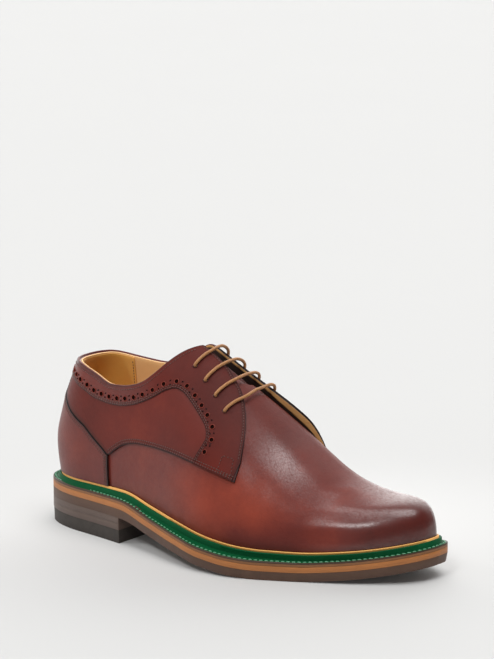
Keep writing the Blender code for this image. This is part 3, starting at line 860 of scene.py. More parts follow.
def upperTop(side, stations):
    # the open upper edge: collar first, then the slot of the throat
    past = ramp(stations, throat["end"] - throat["round"], throat["end"])
    slot = angleFromCrown(side, stations, throat["half"][side] * np.sqrt(1 - past**2))
    slot = np.where(stations < throat["end"] - nearly, slot, quarterTurn)
    return np.minimum(slot, collarAngle(side, stations))


def upperSheet(side):
    form, stations = vampForm, upperStations()
    station, level, _ = panelGrid(side, stations, np.zeros(len(stations)), upperTop(side, stations),
                                  np.linspace(0, 1, form["levels"]))
    normals = skinNormal(side, station, level)
    points = creased(skinPoint(side, station, level, 0.0), normals, form["creases"])
    for ridge in form["ridges"] if side < 0 else []:
        points = ridged(side, points, normals, *ridge)
    tongueRoot = ramp(station, *form["sinkStations"]) ** 2 * ramp(level, *form["sinkAngles"])
    points = points - normals * (throat["sink"] * tongueRoot)[..., None]
    lineHeight, lineWidth, lineShade = form["footLine"]
    foot = edgeShade(points[..., 2] - featherHeight(points[..., 0]) - lineHeight, lineWidth) * lineShade
    toe, *toeSpan = form["toeGloss"]
    waist, *waistSpan = form["waistGloss"]
    gloss = form["gloss"] + softSpotsAt(points, [form["shine"]])
    gloss = gloss + toe * smoothStep(station, *toeSpan) + waist * ramp(station, *waistSpan)
    return points, {"rub": rubAndLightAt(points, form), "edge": foot, "gloss": gloss}


liningForm = {"lift": -0.95, "wall": 1.0, "edge": 0.2, "rise": 0.25, "shrink": 4.0, "end": 140.0, "foot": 3.0}
gripForm = {"lift": -2.0, "wall": 0.5, "edge": 0.15, "drop": 0.6, "end": 49.0, "foot": 4.0}


def liningSheet(side):
    stations = chained((0, heelAxis, 46), (heelAxis, liningForm["end"], 96))
    slot = angleFromCrown(side, stations, throat["half"][side] + liningForm["shrink"])
    collar = angleAtHeight(stations, toplineHeight[side](stations) + liningForm["rise"])
    low = angleAtHeight(stations, featherHeight(stations) + liningForm["foot"])
    station, level, _ = panelGrid(side, stations, low, np.minimum(slot, collar), np.linspace(0, 1, 26))
    return skinPoint(side, station, level, liningForm["lift"]), None


def gripSheet(side):
    stations = chained((0, heelAxis, 34), (heelAxis, gripForm["end"], 10))
    high = angleAtHeight(stations, toplineHeight[side](stations) - gripForm["drop"])
    low = angleAtHeight(stations, featherHeight(stations) + gripForm["foot"])
    station, level, _ = panelGrid(side, stations, low, high, np.linspace(0, 1, 24))
    return skinPoint(side, station, level, gripForm["lift"]), None


makeShell("upper_vamp", map(upperSheet, bothSides), [skins["vamp"]], "upper_leather", ["upper"],
          vampForm["wall"], vampForm["edge"])
makeShell("lining", map(liningSheet, bothSides), [skins["lining"]], "lining_leather", (),
          liningForm["wall"], liningForm["edge"])
makeShell("heel_grip", map(gripSheet, bothSides), [skins["grip"]], "lining_leather", (),
          gripForm["wall"], gripForm["edge"])
print("upper and lining shaped")


# quarters, counter and the brogued band

quarterForm = {
    "lift": 1.35, "wall": 1.3, "edge": 0.25, "shade": (1.1, 0.35, 2.2), "seamGap": 0.3, "nose": 18, "noseCrowd": 0.6,
    # station, lift of the medial facing's edge off the vamp
    "flare": [(110, 0), (125, 3.9), (140, 3.7), (160, 3.8), (180, 4.8), (190, 5.0), (197, 3.2), (203, 0)],
    "flareLevel": 0.55,
    # station, height of the seam along the foot of each quarter, counter seam first
    "seam": [(14, 91.5), (25.2, 85.7), (34.6, 79.7), (44.4, 73.5), (52.9, 67.1), (63.6, 60.1), (68.7, 56.7),
             (73.9, 60.1), (81.8, 65), (90.4, 67.6), (102.9, 68.5), (126, 67.8), (145.2, 65.5), (167.5, 61.2),
             (181.8, 57.3), (210, 50)],
    "counterEnd": 68.2, "stayEdge": 14.6, "tip": {-1: 181.5, 1: 203.0},
    # natural edge of the lining in the throat: stations and widths, and how softly the lining beyond it turns to
    # painted shade
    "golden": ([112, 160, 172, 185, 203], [0.9, 0.9, 2.6, 3.4, 3.0]), "goldenFade": 0.5,
    "rub": [(100, -32, 80, 24, 0.16), (140, -36, 84, 18, 0.12), (75, -28, 72, 22, 0.08),
            (120, -38, 74, 18, -0.10), (140, 26, 84, 22, 0.16), (100, 26, 76, 24, 0.12), (170, -40, 64, 16, -0.12)],
    "rubAndLightBase": 0.38,
}
seamHeight = easedCurve(quarterForm["seam"], 1, 0.8)
flareHeight = easedCurve(quarterForm["flare"], 1, 2)


def seamAngle(stations):
    return angleAtHeight(stations, seamHeight(stations) + quarterForm["seamGap"])


def flareLift(side, station, share):
    # the medial facing stands a little off the vamp
    rise = ramp(share, quarterForm["flareLevel"], 1) ** 2
    return max(side, 0) * np.maximum(flareHeight(station), 0) * rise


def overQuarter(side, station, angle, extra):
    # a place standing a little off the quarter, which itself flares on the medial side
    low, high = seamAngle(station), quarterTop(side, station)
    share = np.clip((angle - low) / np.maximum(high - low, nearly), 0, 1)
    return skinPoint(side, station, angle, quarterForm["lift"] + flareLift(side, station, share) + extra)


def quarterSheet(side):
    form = quarterForm
    tip, corner, nose = form["tip"][side], form["counterEnd"], form["nose"]
    stations = chained((form["stayEdge"], corner, 44), (corner, 108, 40), (108, 130, 34), (130, tip - nose, 34))
    stations = np.concatenate([stations, tip - nose * (1 - np.linspace(0, 1, 30)[1:] ** form["noseCrowd"])])
    station, level, away = panelGrid(side, stations, seamAngle(stations), quarterTop(side, stations),
                                     spacedShares(54, 0.75))
    points = overQuarter(side, station, level, 0.0)
    front = np.minimum(away, (tip - station) * 1.2 + 0.05)
    golden = np.interp(station, *form["golden"])
    # painted shade: the lining's inner side darkens beyond its natural edge, where the throat lies in shadow
    shade = ramp(away, golden, golden + form["goldenFade"]) * (station > form["golden"][0][0])
    return points, {"rub": rubAndLightAt(points, form), "edge": sewnEdge(front, *form["shade"]), "shade": shade}


counterForm = {
    "lift": 1.75, "wall": 1.7, "edge": 0.25, "shade": (1.2, 0.3, 2.2), "columns": 40, "crowd": 1.5,
    # heights: over the sole, under the seam's corner, foot and top of the stay; how far the stay stands back
    "rise": 8.5, "cornerHeight": 55.5, "stayFoot": 93, "stayTop": 112.8, "stayBack": 0.6,
    "rub": [(20, -20, 60, 30, 0.10), (50, -26, 50, 22, 0.10), (20, 36, 60, 30, 0.10)], "rubAndLightBase": 0.40,
}


def counterEdge():
    # front edge of the counter from the sole up to the narrow stay: stations and heights
    form = counterForm
    base = solePlan["heelSeat"] + solePlan["outsole"] + solePlan["midsole"] + form["rise"]
    seam = np.linspace(quarterForm["counterEnd"], quarterForm["stayEdge"], 40)
    upright = np.linspace(base, form["cornerHeight"], 16)
    stay = np.linspace(form["stayFoot"], form["stayTop"], 14)
    heights = np.concatenate([upright, seamHeight(seam) - quarterForm["seamGap"], stay])
    return np.concatenate([0 * upright + seam[0], seam, 0 * stay + seam[-1] - form["stayBack"]]), heights


def counterSheet(side):
    edge, heights = counterEdge()
    shares = 1 - (1 - np.linspace(0, 1, counterForm["columns"])) ** counterForm["crowd"]
    station = edge[:, None] * shares
    level = angleAtHeight(station, np.broadcast_to(heights[:, None], station.shape))
    points = skinPoint(side, station, level, counterForm["lift"])
    shade = sewnEdge(edge[:, None] * (1 - shares), *counterForm["shade"])
    return points, {"rub": rubAndLightAt(points, counterForm), "edge": shade}


for side, name in ((-1, "quarter_lateral"), (1, "quarter_medial")):
    makeShell(name, [quarterSheet(side)], [skins["panel"], skins["quarterLining"]], "upper_leather", [name],
              quarterForm["wall"], quarterForm["edge"])
makeShell("counter", map(counterSheet, bothSides), [skins["counter"]], "upper_leather", ["counter"],
          counterForm["wall"], counterForm["edge"])
print("quarters and counter shaped")


bandForm = {
    "lift": 1.90, "wall": 0.55, "shade": (0.6, 0.4, 1.6), "columns": 170, "rows": 34,
    # shares of the upper edge at which the collar's corner and the tip lie
    "corner": 0.56, "tipShare": 0.90, "cornerStation": 124.0,
    # station and height of the big holes along the band, from the back stay to the foot of the eyestay
    "start": (14.8, 108),
    "holes": [(21, 107.6), (27.3, 106.6), (34, 105), (40.4, 102.7), (47, 100.1), (53.4, 97.4), (60.4, 96),
              (67.5, 95.2), (74.5, 95.1), (81.7, 95.9), (89, 97.7), (96, 100.4), (103.6, 104.2), (111.5, 108.8),
              (120.8, 111.4), (129.3, 109.4), (137.1, 104.6), (144.1, 99.3), (150.3, 94.2), (156.3, 87.9),
              (158.8, 80.6), (156.4, 73.2)],
    "foot": [(153.0, 66.5), (151.6, 62.5)], "footStation": 148.6, "margin": 4.5,
    # the last of the lower edge's 400 points, over which it is drawn to the foot's station
    "points": 400, "footPull": ((330, 390), (380, 399)),
    "rub": [(60, -26, 100, 26, 0.20), (30, -18, 105, 20, 0.14), (100, -26, 112, 16, 0.05),
            (150, -26, 100, 30, -0.14), (165, -38, 66, 10, 0.14)],
    "rubAndLightBase": 0.38, "gloss": 0.75, "glossSpan": (124, 76),
}
bandLift = bandForm["lift"] - quarterForm["lift"]


def bandLower(side, count):
    # beside the line through the big holes, which runs on to the back stay and to the foot of the eyestay
    line = smoothLine([bandForm["start"]] + bandForm["holes"] + bandForm["foot"], 500)
    station, angle = evenRun(side, line[:, 0], angleAtHeight(line[:, 0], line[:, 1]), bandForm["points"])
    station, angle = beside(side, station, angle, bandForm["margin"] * side)
    early, late = (ramp(np.arange(bandForm["points"]), *span) for span in bandForm["footPull"])
    footShare = early**2 * late
    station = station + footShare * (bandForm["footStation"] - station[-1])
    angle = np.maximum(angle, seamAngle(station))
    return evenRun(side, np.maximum(station, quarterForm["stayEdge"]), angle, count)


def bandUpper(side, count):
    # topline, then the facing's edge, then back along the quarter's seam to the foot of the eyestay
    tip, corner, nose = quarterForm["tip"][side], bandForm["cornerStation"], 8
    back = chained((quarterForm["stayEdge"], 108, 200), (108, corner, 200))
    front = np.concatenate([np.linspace(corner, tip - nose, 200),
                            tip - nose * (1 - np.linspace(0, 1, 60)[1:] ** 0.5)])
    foot = np.linspace(tip, bandForm["footStation"], 60)
    counts = [int(count * bandForm["corner"]), int(count * (bandForm["tipShare"] - bandForm["corner"]))]
    counts.append(count + 2 - sum(counts))
    angles = [quarterTop(side, back), quarterTop(side, front), seamAngle(foot)]
    runs = [np.stack(evenRun(side, *run)) for run in zip((back, front, foot), angles, counts)]
    return np.concatenate([runs[0], runs[1][:, 1:], runs[2][:, 1:]], 1)


def bandSheet(side):
    lower, upper = (np.stack(line(side, bandForm["columns"])) for line in (bandLower, bandUpper))
    shares = spacedShares(bandForm["rows"], 0.7)
    station, angle = lower[..., None] + (upper - lower)[..., None] * shares
    points = overQuarter(side, station, angle, bandLift)
    span = np.linalg.norm(points[:, -1] - points[:, 0], axis=-1)[:, None]
    edge = sewnEdge(span * np.minimum(shares, 1 - shares), *bandForm["shade"])
    gloss = bandForm["gloss"] * smoothStep(station, *bandForm["glossSpan"])
    return points, {"rub": rubAndLightAt(points, bandForm), "edge": edge, "gloss": gloss}


# the big holes' rims are lighter than the band: a painted highlight round the holes
broguing = {"radius": 1.60, "rim": 0.26, "rimRubAndLight": 0.65, "pinRadius": 0.52, "pinSpread": 1.35, "depth": 1.6,
            "cutLift": 0.3, "facets": 14, "shadowLift": 0.05, "shadowDepth": 0.16, "shadowSpread": 1.02}
eyelets = {
    # lateral station and distance from the crown line, then the medial ones
    "rows": [(129.2, 16.3, 132.2, 10.0), (139.7, 20.1, 144.8, 10.3), (150, 24.1, 155.6, 11.0),
             (159.7, 28.5, 166.5, 12.2)],
    "radius": 1.45, "rim": 0.30, "rimRubAndLight": 0.05,
}


def turnedTo(normal, along):
    # rotation whose z runs along the normal and whose x runs along a line
    z = Vector(normal).normalized()
    x = (Vector(along) - Vector(along).project(z)).normalized()
    return Matrix((x, z.cross(x), z)).transposed().to_4x4()


def bigHoles(side):
    holes = np.array(bandForm["holes"], float)
    return [(*hole, broguing["radius"]) for hole in zip(holes[:, 0], angleAtHeight(holes[:, 0], holes[:, 1]))]


def eyeletSpots(side):
    first = 0 if side < 0 else 2
    return [(row[first], float(angleFromCrown(side, row[first], row[first + 1])), eyelets["radius"])
            for row in eyelets["rows"]]


def allHoles(side):
    # big holes along the band, a pair of pinholes between two of them, and the eyelets
    spots = bigHoles(side)
    station, angle = np.array(spots)[:, 0], np.array(spots)[:, 1]
    middle = ((station[1:] + station[:-1]) / 2, (angle[1:] + angle[:-1]) / 2)
    for aside in (-broguing["pinSpread"], broguing["pinSpread"]):
        spots += [(*pin, broguing["pinRadius"]) for pin in zip(*beside(side, *middle, aside))]
    return spots + eyeletSpots(side)


def holePlaces(side, spots, lift):
    # how each hole stands on the quarter, and its radius
    for station, angle, radius in spots:
        s, a = np.array(station), np.array(angle)
        turn = turnedTo(skinNormal(side, s, a), (1, 0, 0))
        yield Matrix.Translation(Vector(placed(overQuarter(side, s, a, lift)))) @ turn, radius


def addPlugs(bm, side, lift, depth, spread=1.0):
    for place, radius in holePlaces(side, allHoles(side), lift):
        radius = spread * radius * mm
        bmesh.ops.create_cone(bm, cap_ends=True, segments=broguing["facets"], radius1=radius, radius2=radius,
                              depth=depth * mm, matrix=place)


def makeBand(side, name):
    bm = bmesh.new()
    addPlugs(bm, side, broguing["cutLift"], broguing["depth"])
    cutter = linked("holeCutter", meshFrom(bm, "holeCutter"))
    makeShell(name, [bandSheet(side)], [skins["band"]], "upper_leather", (), bandForm["wall"], 0, cutter)
    bpy.data.objects.remove(cutter)


def makePaintedHoleShadows():
    # dark disc at the foot of each hole, just over the quarter: painted shade inside the hole
    bm = bmesh.new()
    for side in bothSides:
        addPlugs(bm, side, broguing["shadowLift"], broguing["shadowDepth"], broguing["shadowSpread"])
    addPiece(bm, "hole_shadow_discs", [skins["hole"]], "upper_leather")


makeBand(-1, "band_lateral")
makeBand(1, "band_medial")
makePaintedHoleShadows()
print("brogued bands cut")


# cords: collar binding, eyelet rims, lace

def cordMesh(path, radius, facets):
    # round cord along a smooth path, with its length and turn kept for the thread's twist
    along = unit(np.gradient(path, axis=0))
    over = unit(np.cross(along, np.array([1.0, 0.03, 0.02])))
    aside = np.cross(along, over)
    turn = np.linspace(0, 2 * math.pi, facets + 1)
    ring = np.cos(turn)[None, :, None] * over[:, None] + np.sin(turn)[None, :, None] * aside[:, None]
    width = np.full(len(path), radius)
    width[[0, -1]] = 0.0
    points = path[:, None] + ring * width[:, None, None]
    bm = bmesh.new()
    addSheet(bm, points, {"along": np.broadcast_to(pathLength(path)[:, None], points.shape[:2]),
                          "around": np.broadcast_to(turn / (2 * math.pi), points.shape[:2])})
    mergeMesh(bm)
    return bm


binding = {"radius": 0.85, "lift": 0.95, "facets": 12, "sink": 0.30, "end": 126.0, "rub": 0.30}


def makeBinding():
    # folded edge round the collar, from facing to facing
    stations = chained((0, heelAxis, 60), (heelAxis, 108, 70), (108, binding["end"], 60))
    runs = {}
    for side in bothSides:
        lift = binding["lift"] + flareLift(side, stations, np.array(1.0))
        runs[side] = skinPoint(side, stations, quarterTop(side, stations), lift) - np.array([0, 0, binding["sink"]])
    bm = cordMesh(np.concatenate([runs[-1][::-1], runs[1][1:]]), binding["radius"], binding["facets"])
    fillLayer(bm, "rub", binding["rub"])
    addPiece(bm, "collar_binding", [skins["panel"]], "upper_leather")


rims = {"lift": 0.6, "spread": 0.05, "facets": 8, "steps": 20, "weld": 0.002}


def makeRims(name, spotsOf, thick, rubbedAndLit):
    # the raised edge pressed up round each punched hole
    bm = bmesh.new()
    upright = Matrix.Rotation(quarterTurn, 4, "X")
    for side in bothSides:
        for place, radius in holePlaces(side, spotsOf(side), rims["lift"]):
            centre = Matrix.Translation(Vector(((radius + rims["spread"]) * mm, 0, 0)))
            verts = bmesh.ops.create_circle(bm, segments=rims["facets"], radius=thick * mm,
                                            matrix=centre @ upright)["verts"]
            edges = list({edge for vert in verts for edge in vert.link_edges})
            bmesh.ops.spin(bm, geom=verts + edges, cent=(0, 0, 0), axis=(0, 0, 1), angle=2 * math.pi,
                           steps=rims["steps"], use_merge=True)
            bmesh.ops.transform(bm, matrix=place, verts=[vert for vert in bm.verts if not vert.tag])
            for vert in bm.verts:
                vert.tag = True
    mergeMesh(bm, rims["weld"])
    fillLayer(bm, "rub", rubbedAndLit)
    addPiece(bm, name, [skins["panel"]], "upper_leather")


lace = {"diameter": 2.1, "rise": 1.3, "facets": 12, "under": -3.0, "through": 0.2, "over": 1.6,
        # for each bar: how far it slants forward on the lateral facing, its height over both edges and between
        "bars": [(3.0, 1.4, 1.5, 2.8), (3.6, 1.3, 1.5, 2.6), (4.4, 1.2, 1.4, 1.9), (5.0, 1.4, 1.3, 2.0)],
        # the row that each bar crosses and the side it starts from
        "visits": [(1, -1), (3, 1), (2, -1), (0, 1)],
        # how far both hidden ends lie under the eyelet and ahead of it
        "ends": [(0.6, 2.5), (1.5, 1.5)]}


def laceSpot(side, row, lift):
    station, angle, _ = eyeletSpots(side)[row]
    return overQuarter(side, np.array(station, float), np.array(angle), lift)


def laceEnd(side, deeper, ahead):
    return laceSpot(side, 0, lace["under"] - deeper) + np.array([ahead, 0, 0])


def laceBar(row, start):
    # over the facing, through the air across the throat, and over the other facing
    slant, near, far, bow = lace["bars"][row]
    bar = []
    for side in (start, -start):
        station, angle, _ = eyeletSpots(side)[row]
        stations = station + (slant if side < 0 else 0) * np.array([0.5, 1.0])
        angles = angle + (quarterTop(side, stations) - angle) * np.array([0.5, 1.0])
        over = near if side < 0 else far
        half = list(overQuarter(side, stations, angles, lace["rise"] + over * np.array([0.55, 1.0])))
        bar += half if side == start else half[::-1]
    middle = (bar[1] + bar[2]) / 2 + np.array([0, 0, bow])
    return bar[:2] + [middle] + bar[2:]


def laceRoute():
    # straight lacing: each end goes up through every other row and stops inside the top eyelets
    lifts = [lace["under"], lace["through"], lace["over"]]
    route = [laceEnd(-1, *lace["ends"][0])]
    for row, side in lace["visits"]:
        route += [laceSpot(side, row, lift) for lift in lifts]
        route += laceBar(row, side)
        route += [laceSpot(-side, row, lift) for lift in lifts[::-1]]
    route.append(laceEnd(-side, *lace["ends"][1]))
    return smoothLine(route, 1100)


makeBinding()
makeRims("eyelet_rims", eyeletSpots, eyelets["rim"], eyelets["rimRubAndLight"])
makeRims("hole_rims", bigHoles, broguing["rim"], broguing["rimRubAndLight"])
addPiece(cordMesh(laceRoute(), lace["diameter"] / 2, lace["facets"]), "lace", [skins["lace"]], "lace_cotton",
         [f"lace_bar_{number}" for number in range(1, 5)], sharp=80)
print("binding, eyelets and lace run")


# tongue and insole

# the tongue's low rub value is painted shade, as it lies deep in the throat
tongueForm = {"top": 124.0, "foot": 182.0, "half": 15.0, "belly": 7.0, "round": 9.0, "lift": -2.5, "wall": 1.7,
              "edge": 0.4, "dip": 3.2, "dipPower": 1.5, "bellySpan": (0.35, 1), "tipShare": 0.02,
              "rub": [(150, 2, 112, 30, -0.05)], "rubAndLightBase": 0.26}
insoleForm = {"inset": -2.8, "base": 0.3, "thick": 2.6, "round": 0.4}


def tongueSheet(side):
    form, count = tongueForm, 60
    stations = np.linspace(form["top"], form["foot"], count)
    half = form["half"] + form["belly"] * np.sin(np.linspace(*form["bellySpan"], count) * math.pi)
    rounding = ramp(stations, form["top"], form["top"] + form["round"])
    half = half * np.sqrt(np.maximum(1 - (1 - rounding) ** 2, form["tipShare"]))
    shares = np.linspace(0, 1, 22)
    station, level, _ = panelGrid(side, stations, angleFromCrown(side, stations, half),
                                  np.full(count, quarterTurn), shares)
    points = skinPoint(side, station, level, form["lift"] - form["dip"] * (1 - shares) ** form["dipPower"])
    return points, {"rub": rubAndLightAt(points, form), "edge": np.zeros(level.shape)}


makeShell("tongue", map(tongueSheet, bothSides), [skins["vamp"], skins["lining"]], "upper_leather", ["tongue"],
          tongueForm["wall"], tongueForm["edge"])
makeSlab("insole", footLoop(insoleForm["base"], insoleForm["inset"]),
         footLoop(insoleForm["base"] + insoleForm["thick"], insoleForm["inset"]),
         skins["lining"], "lining_leather", insoleForm["round"])
print("tongue and insole laid")


# sole: outsole, midsole, welt, rand, heel

# slot, base and top over the underside, how far the foot tapers in ahead of the heel, rounding
soleLayers = {
    "outsole": ("sole_leather", 0.0, solePlan["outsole"] - 0.08, 1.0, 0.5),
    "midsole": ("midsole_leather", solePlan["outsole"] + 0.02, solePlan["outsole"] + solePlan["midsole"] + 0.1,
                0.0, 0.3),
}
taperRun = 16.0


def makeSoleLayer(name, slot, base, top, taper, rounding):
    lower = soleLoop(solePlan["edgeInset"], base)
    lean = taper * ramp(lower[:, 0], solePlan["breast"], solePlan["breast"] + taperRun)
    lower[:, :2] -= loopNormals(lower) * lean[:, None]
    makeSlab(name, lower, soleLoop(solePlan["edgeInset"], top), skins[name], slot, rounding)


weltForm = {
    "inner": 1.65, "lipWall": 1.7, "lipHeight": 4.0, "root": 0.5, "rootRise": 0.6, "dip": 0.25,
    # the flange's edge from below: further inset, drop from its top
    "edge": [(0.0, 1.2), (0.0, 0.5), (0.15, 0.12), (0.5, 0.0)],
    # the lip's top from outside: drop, share of its wall
    "lip": [(0.5, 0.9), (0.08, 0.66), (0.0, 0.4), (0.2, 0.0)],
    # the cut edge: least distance from the foot, steepest normal, slack above, height of its dark line
    "cutReach": 2.0, "cutNormal": 0.97, "cutSlack": 0.1, "cutLine": 1.2,
}
footClearance = 0.05


def weltLoops():
    inner, lip, thick = weltForm["inner"], weltForm["lipWall"], solePlan["welt"]
    inset, tall = solePlan["edgeInset"], thick + weltForm["lipHeight"]
    edge = [soleLoop(inset + further, weltBase + thick - drop) for further, drop in weltForm["edge"]]
    root = footLoop(thick, inner + lip + weltForm["root"])
    trough = edge[-1] * 0.5 + root * 0.5 - np.array([0, 0, weltForm["dip"]])
    return [footLoop(footClearance, inner), soleLoop(inset, weltBase), *edge, trough, root,
            footLoop(thick + weltForm["rootRise"], inner + lip),
            *(footLoop(tall - drop, inner + lip * share) for drop, share in weltForm["lip"])]


def makeWelt():
    piece = makeRing("welt", weltLoops(), [skins["welt"], skins["flangeEdge"], skins["flangeLine"]],
                     "welt_leather", 50)
    footEdge = footLoop(0, 0)[:, :2]
    for face in piece.data.polygons:
        centre = np.array(face.center) / mm + planCentre
        reach = np.min(np.linalg.norm(footEdge - centre[:2], axis=-1))
        over = centre[2] - underside(centre[0]) - weltBase - solePlan["welt"]
        if reach > weltForm["cutReach"] and face.normal.z < weltForm["cutNormal"] and over < weltForm["cutSlack"]:
            face.material_index = 2 if over > -weltForm["cutLine"] else 1


randForm = {"seat": 0.45, "wall": 0.9, "rise": 1.2, "round": 0.3, "topShare": 0.6}


def makeRand():
    tall = solePlan["welt"] + weltForm["lipHeight"] + randForm["rise"]
    seat, outer = randForm["seat"], randForm["seat"] + randForm["wall"]
    section = [(footClearance, seat), (footClearance, outer), (tall - randForm["round"], outer),
               (tall, seat + randForm["wall"] * randForm["topShare"]), (tall, seat)]
    makeRing("rand", [footLoop(*corner) for corner in section], [skins["rand"]], "rand_leather", 60)


heelForm = {"topPiece": 9.0, "taper": 0.6, "round": 0.35, "columns": 8, "slit": 0.06, "seat": 0.1}


def heelLoop(height, inset):
    stations = chained((0, heelAxis, 61), (heelAxis, solePlan["breast"], 13))
    loop = soleLoop(0, 0, stations, True)
    normals = loopNormals(loop)
    normals[[len(stations) - 1, len(stations)]] = [[0.0, -1.0], [0.0, 1.0]]
    loop[:, :2] -= normals * inset
    loop[:, 2] = height
    return loop


def makeHeelSlab(name, node, base, top, taper, material, slot):
    inset = solePlan["edgeInset"] + taper
    makeSlab(name, heelLoop(base, inset), heelLoop(top, inset - taper / 2), material, slot,
             heelForm["round"], node, heelForm["columns"])


def makeHeel():
    topPiece, seat, slit = heelForm["topPiece"], solePlan["heelSeat"], heelForm["slit"]
    middle = (topPiece + solePlan["gap"] + seat) / 2
    makeHeelSlab("heel_top_piece", "heel_top_piece", 0.0, topPiece, heelForm["taper"], skins["rubber"],
                 "heel_rubber")
    for name, base, top in (("heel_lift_lower", topPiece + heelForm["seat"], middle - slit),
                            ("heel_lift_upper", middle + slit, seat - heelForm["seat"])):
        makeHeelSlab(name, "heel_lift", base, top, 0.0, skins["lift"], "heel_leather")


for name, layer in soleLayers.items():
    makeSoleLayer(name, *layer)
makeWelt()
makeRand()
makeHeel()
print("sole, welt and heel built")


# stitches

upperStitch = {"pitch": 2.0, "length": 1.45, "radius": 0.34}
weltStitch = {"pitch": 3.5, "length": 2.6, "radius": 0.50, "inset": 2.1}
# how flat a stitch lies and how far it stands off; distances of the rows from the edge they follow
sewing = {"flat": 0.9, "stand": 0.05, "ahead": 0.4, "quarterFoot": (1.3, 3.0), "quarterStart": 70,
          "bandFoot": (0.9, 2.1), "collar": 2.4, "facing": 1.5, "counter": (1.4, 2.8),
          "gripInset": 1.6, "gripDrop": 3, "gripEnd": 60}
# station and height of the corners of the small box sewn at the foot of each facing
boxStitch = {-1: [(168.5, 62.9), (169.3, 72.2), (176.6, 70.9), (178.4, 60.9)],
             1: [(190.0, 58.5), (189.0, 64.5), (195.0, 65.0), (196.5, 57.0)]}
onBandLift = bandLift + sewing["stand"]


def stitchTemplate():
    bm = bmesh.new()
    bmesh.ops.create_uvsphere(bm, u_segments=6, v_segments=5, radius=1, matrix=Matrix.Rotation(quarterTurn, 4, "Y"))
    along = bm.verts.layers.float.new("along")
    around = bm.verts.layers.float.new("around")
    for vert in bm.verts:
        vert[along] = vert.co.x
        vert[around] = math.atan2(vert.co.y, vert.co.z) / (2 * math.pi) + 0.5
    return meshFrom(bm, "stitch")


def makeStitches(name, runs, material, slot, form):
    # runs are arrays of places and normals along a seam, close together
    template = stitchTemplate()
    thick = form["radius"] * mm
    size = Matrix.Diagonal((form["length"] / 2 * mm, thick, thick * sewing["flat"], 1))
    bm = bmesh.new()
    for places, normals in runs:
        reach = pathLength(places)

        def sample(run, at):
            return np.array([np.interp(at, reach, run[:, k]) for k in range(3)])

        count = max(int(reach[-1] / form["pitch"]), 1)
        for at in (np.arange(count) + 0.5) * reach[-1] / count:
            ahead = sample(places, at + sewing["ahead"]) - sample(places, at - sewing["ahead"])
            first = len(bm.verts)
            bm.from_mesh(template)
            bm.verts.ensure_lookup_table()
            turn = turnedTo(sample(normals, at), ahead)
            place = Matrix.Translation(Vector(placed(sample(places, at)))) @ turn @ size
            bmesh.ops.transform(bm, matrix=place, verts=bm.verts[first:])
    bpy.data.meshes.remove(template)
    addPiece(bm, name, [material], slot, sharp=80)


def quarterRun(side, station, angle, lift):
    return overQuarter(side, station, angle, lift), skinNormal(side, station, angle)


def skinRun(side, station, angle, lift):
    return skinPoint(side, station, angle, lift), skinNormal(side, station, angle)


def upperSeams(side):
    # stitched lines beside the edges, standing on the panel they are sewn through
    inward, runs = -side, []
    foot = np.linspace(sewing["quarterStart"], quarterForm["tip"][side] - 1.5, 300)
    foot = np.stack(evenRun(side, foot, seamAngle(foot), 240))
    onBand = foot[0] > bandForm["footStation"]
    for aside in sewing["quarterFoot"]:
        for part, lift in ((~onBand, sewing["stand"]), (onBand, onBandLift)):
            runs.append(quarterRun(side, *beside(side, *foot[:, part], aside * inward), lift))
    lower, upper = np.stack(bandLower(side, 300))[:, 4:-6], bandUpper(side, 400)
    corner, end = int(400 * bandForm["corner"]), int(400 * bandForm["tipShare"])
    lines = [(lower, aside) for aside in sewing["bandFoot"]]
    lines += [(upper[:, 6:corner - 6], -sewing["collar"]), (upper[:, corner + 4:end - 4], -sewing["facing"])]
    for line, aside in lines:
        runs.append(quarterRun(side, *beside(side, *line, aside * inward), onBandLift))
    edge, heights = counterEdge()
    line = np.stack(evenRun(side, edge, angleAtHeight(edge, heights), 240))[:, 3:-3]
    for aside in sewing["counter"]:
        runs.append(skinRun(side, *beside(side, *line, aside * inward), counterForm["lift"] + sewing["stand"]))
    return runs


def boxRuns(side):
    corners = np.array(boxStitch[side] + boxStitch[side][:1], float)
    for a, b in zip(corners[:-1], corners[1:]):
        station, height = (a + (b - a) * np.linspace(0, 1, 20)[:, None]).T
        yield quarterRun(side, station, angleAtHeight(station, height), onBandLift)


def gripRun(side):
    # the heel grip's front edge is sewn down on the lining
    top = toplineHeight[side](gripForm["end"]) - sewing["gripDrop"]
    station = np.full(60, gripForm["end"] - sewing["gripInset"])
    angle = angleAtHeight(station, np.linspace(top, sewing["gripEnd"], 60))
    places, normals = skinRun(side, station, angle, gripForm["lift"] - gripForm["wall"])
    return places, -normals


def weltRun():
    loop = soleLoop(weltStitch["inset"], weltBase + solePlan["welt"] + sewing["stand"])
    loop = np.concatenate([loop, loop[:1]])
    return loop, np.broadcast_to(np.array([0.0, 0.0, 1.0]), loop.shape)


upperRuns = [run for runsOf in (upperSeams, boxRuns) for side in bothSides for run in runsOf(side)]
makeStitches("lining_stitches", map(gripRun, bothSides), skins["thread"], "lining_leather", upperStitch)
makeStitches("upper_stitches", upperRuns, skins["thread"], "upper_leather", upperStitch)
makeStitches("welt_stitches", [weltRun()], skins["weltThread"], "welt_leather", weltStitch)
print("seams sewn")


# studio

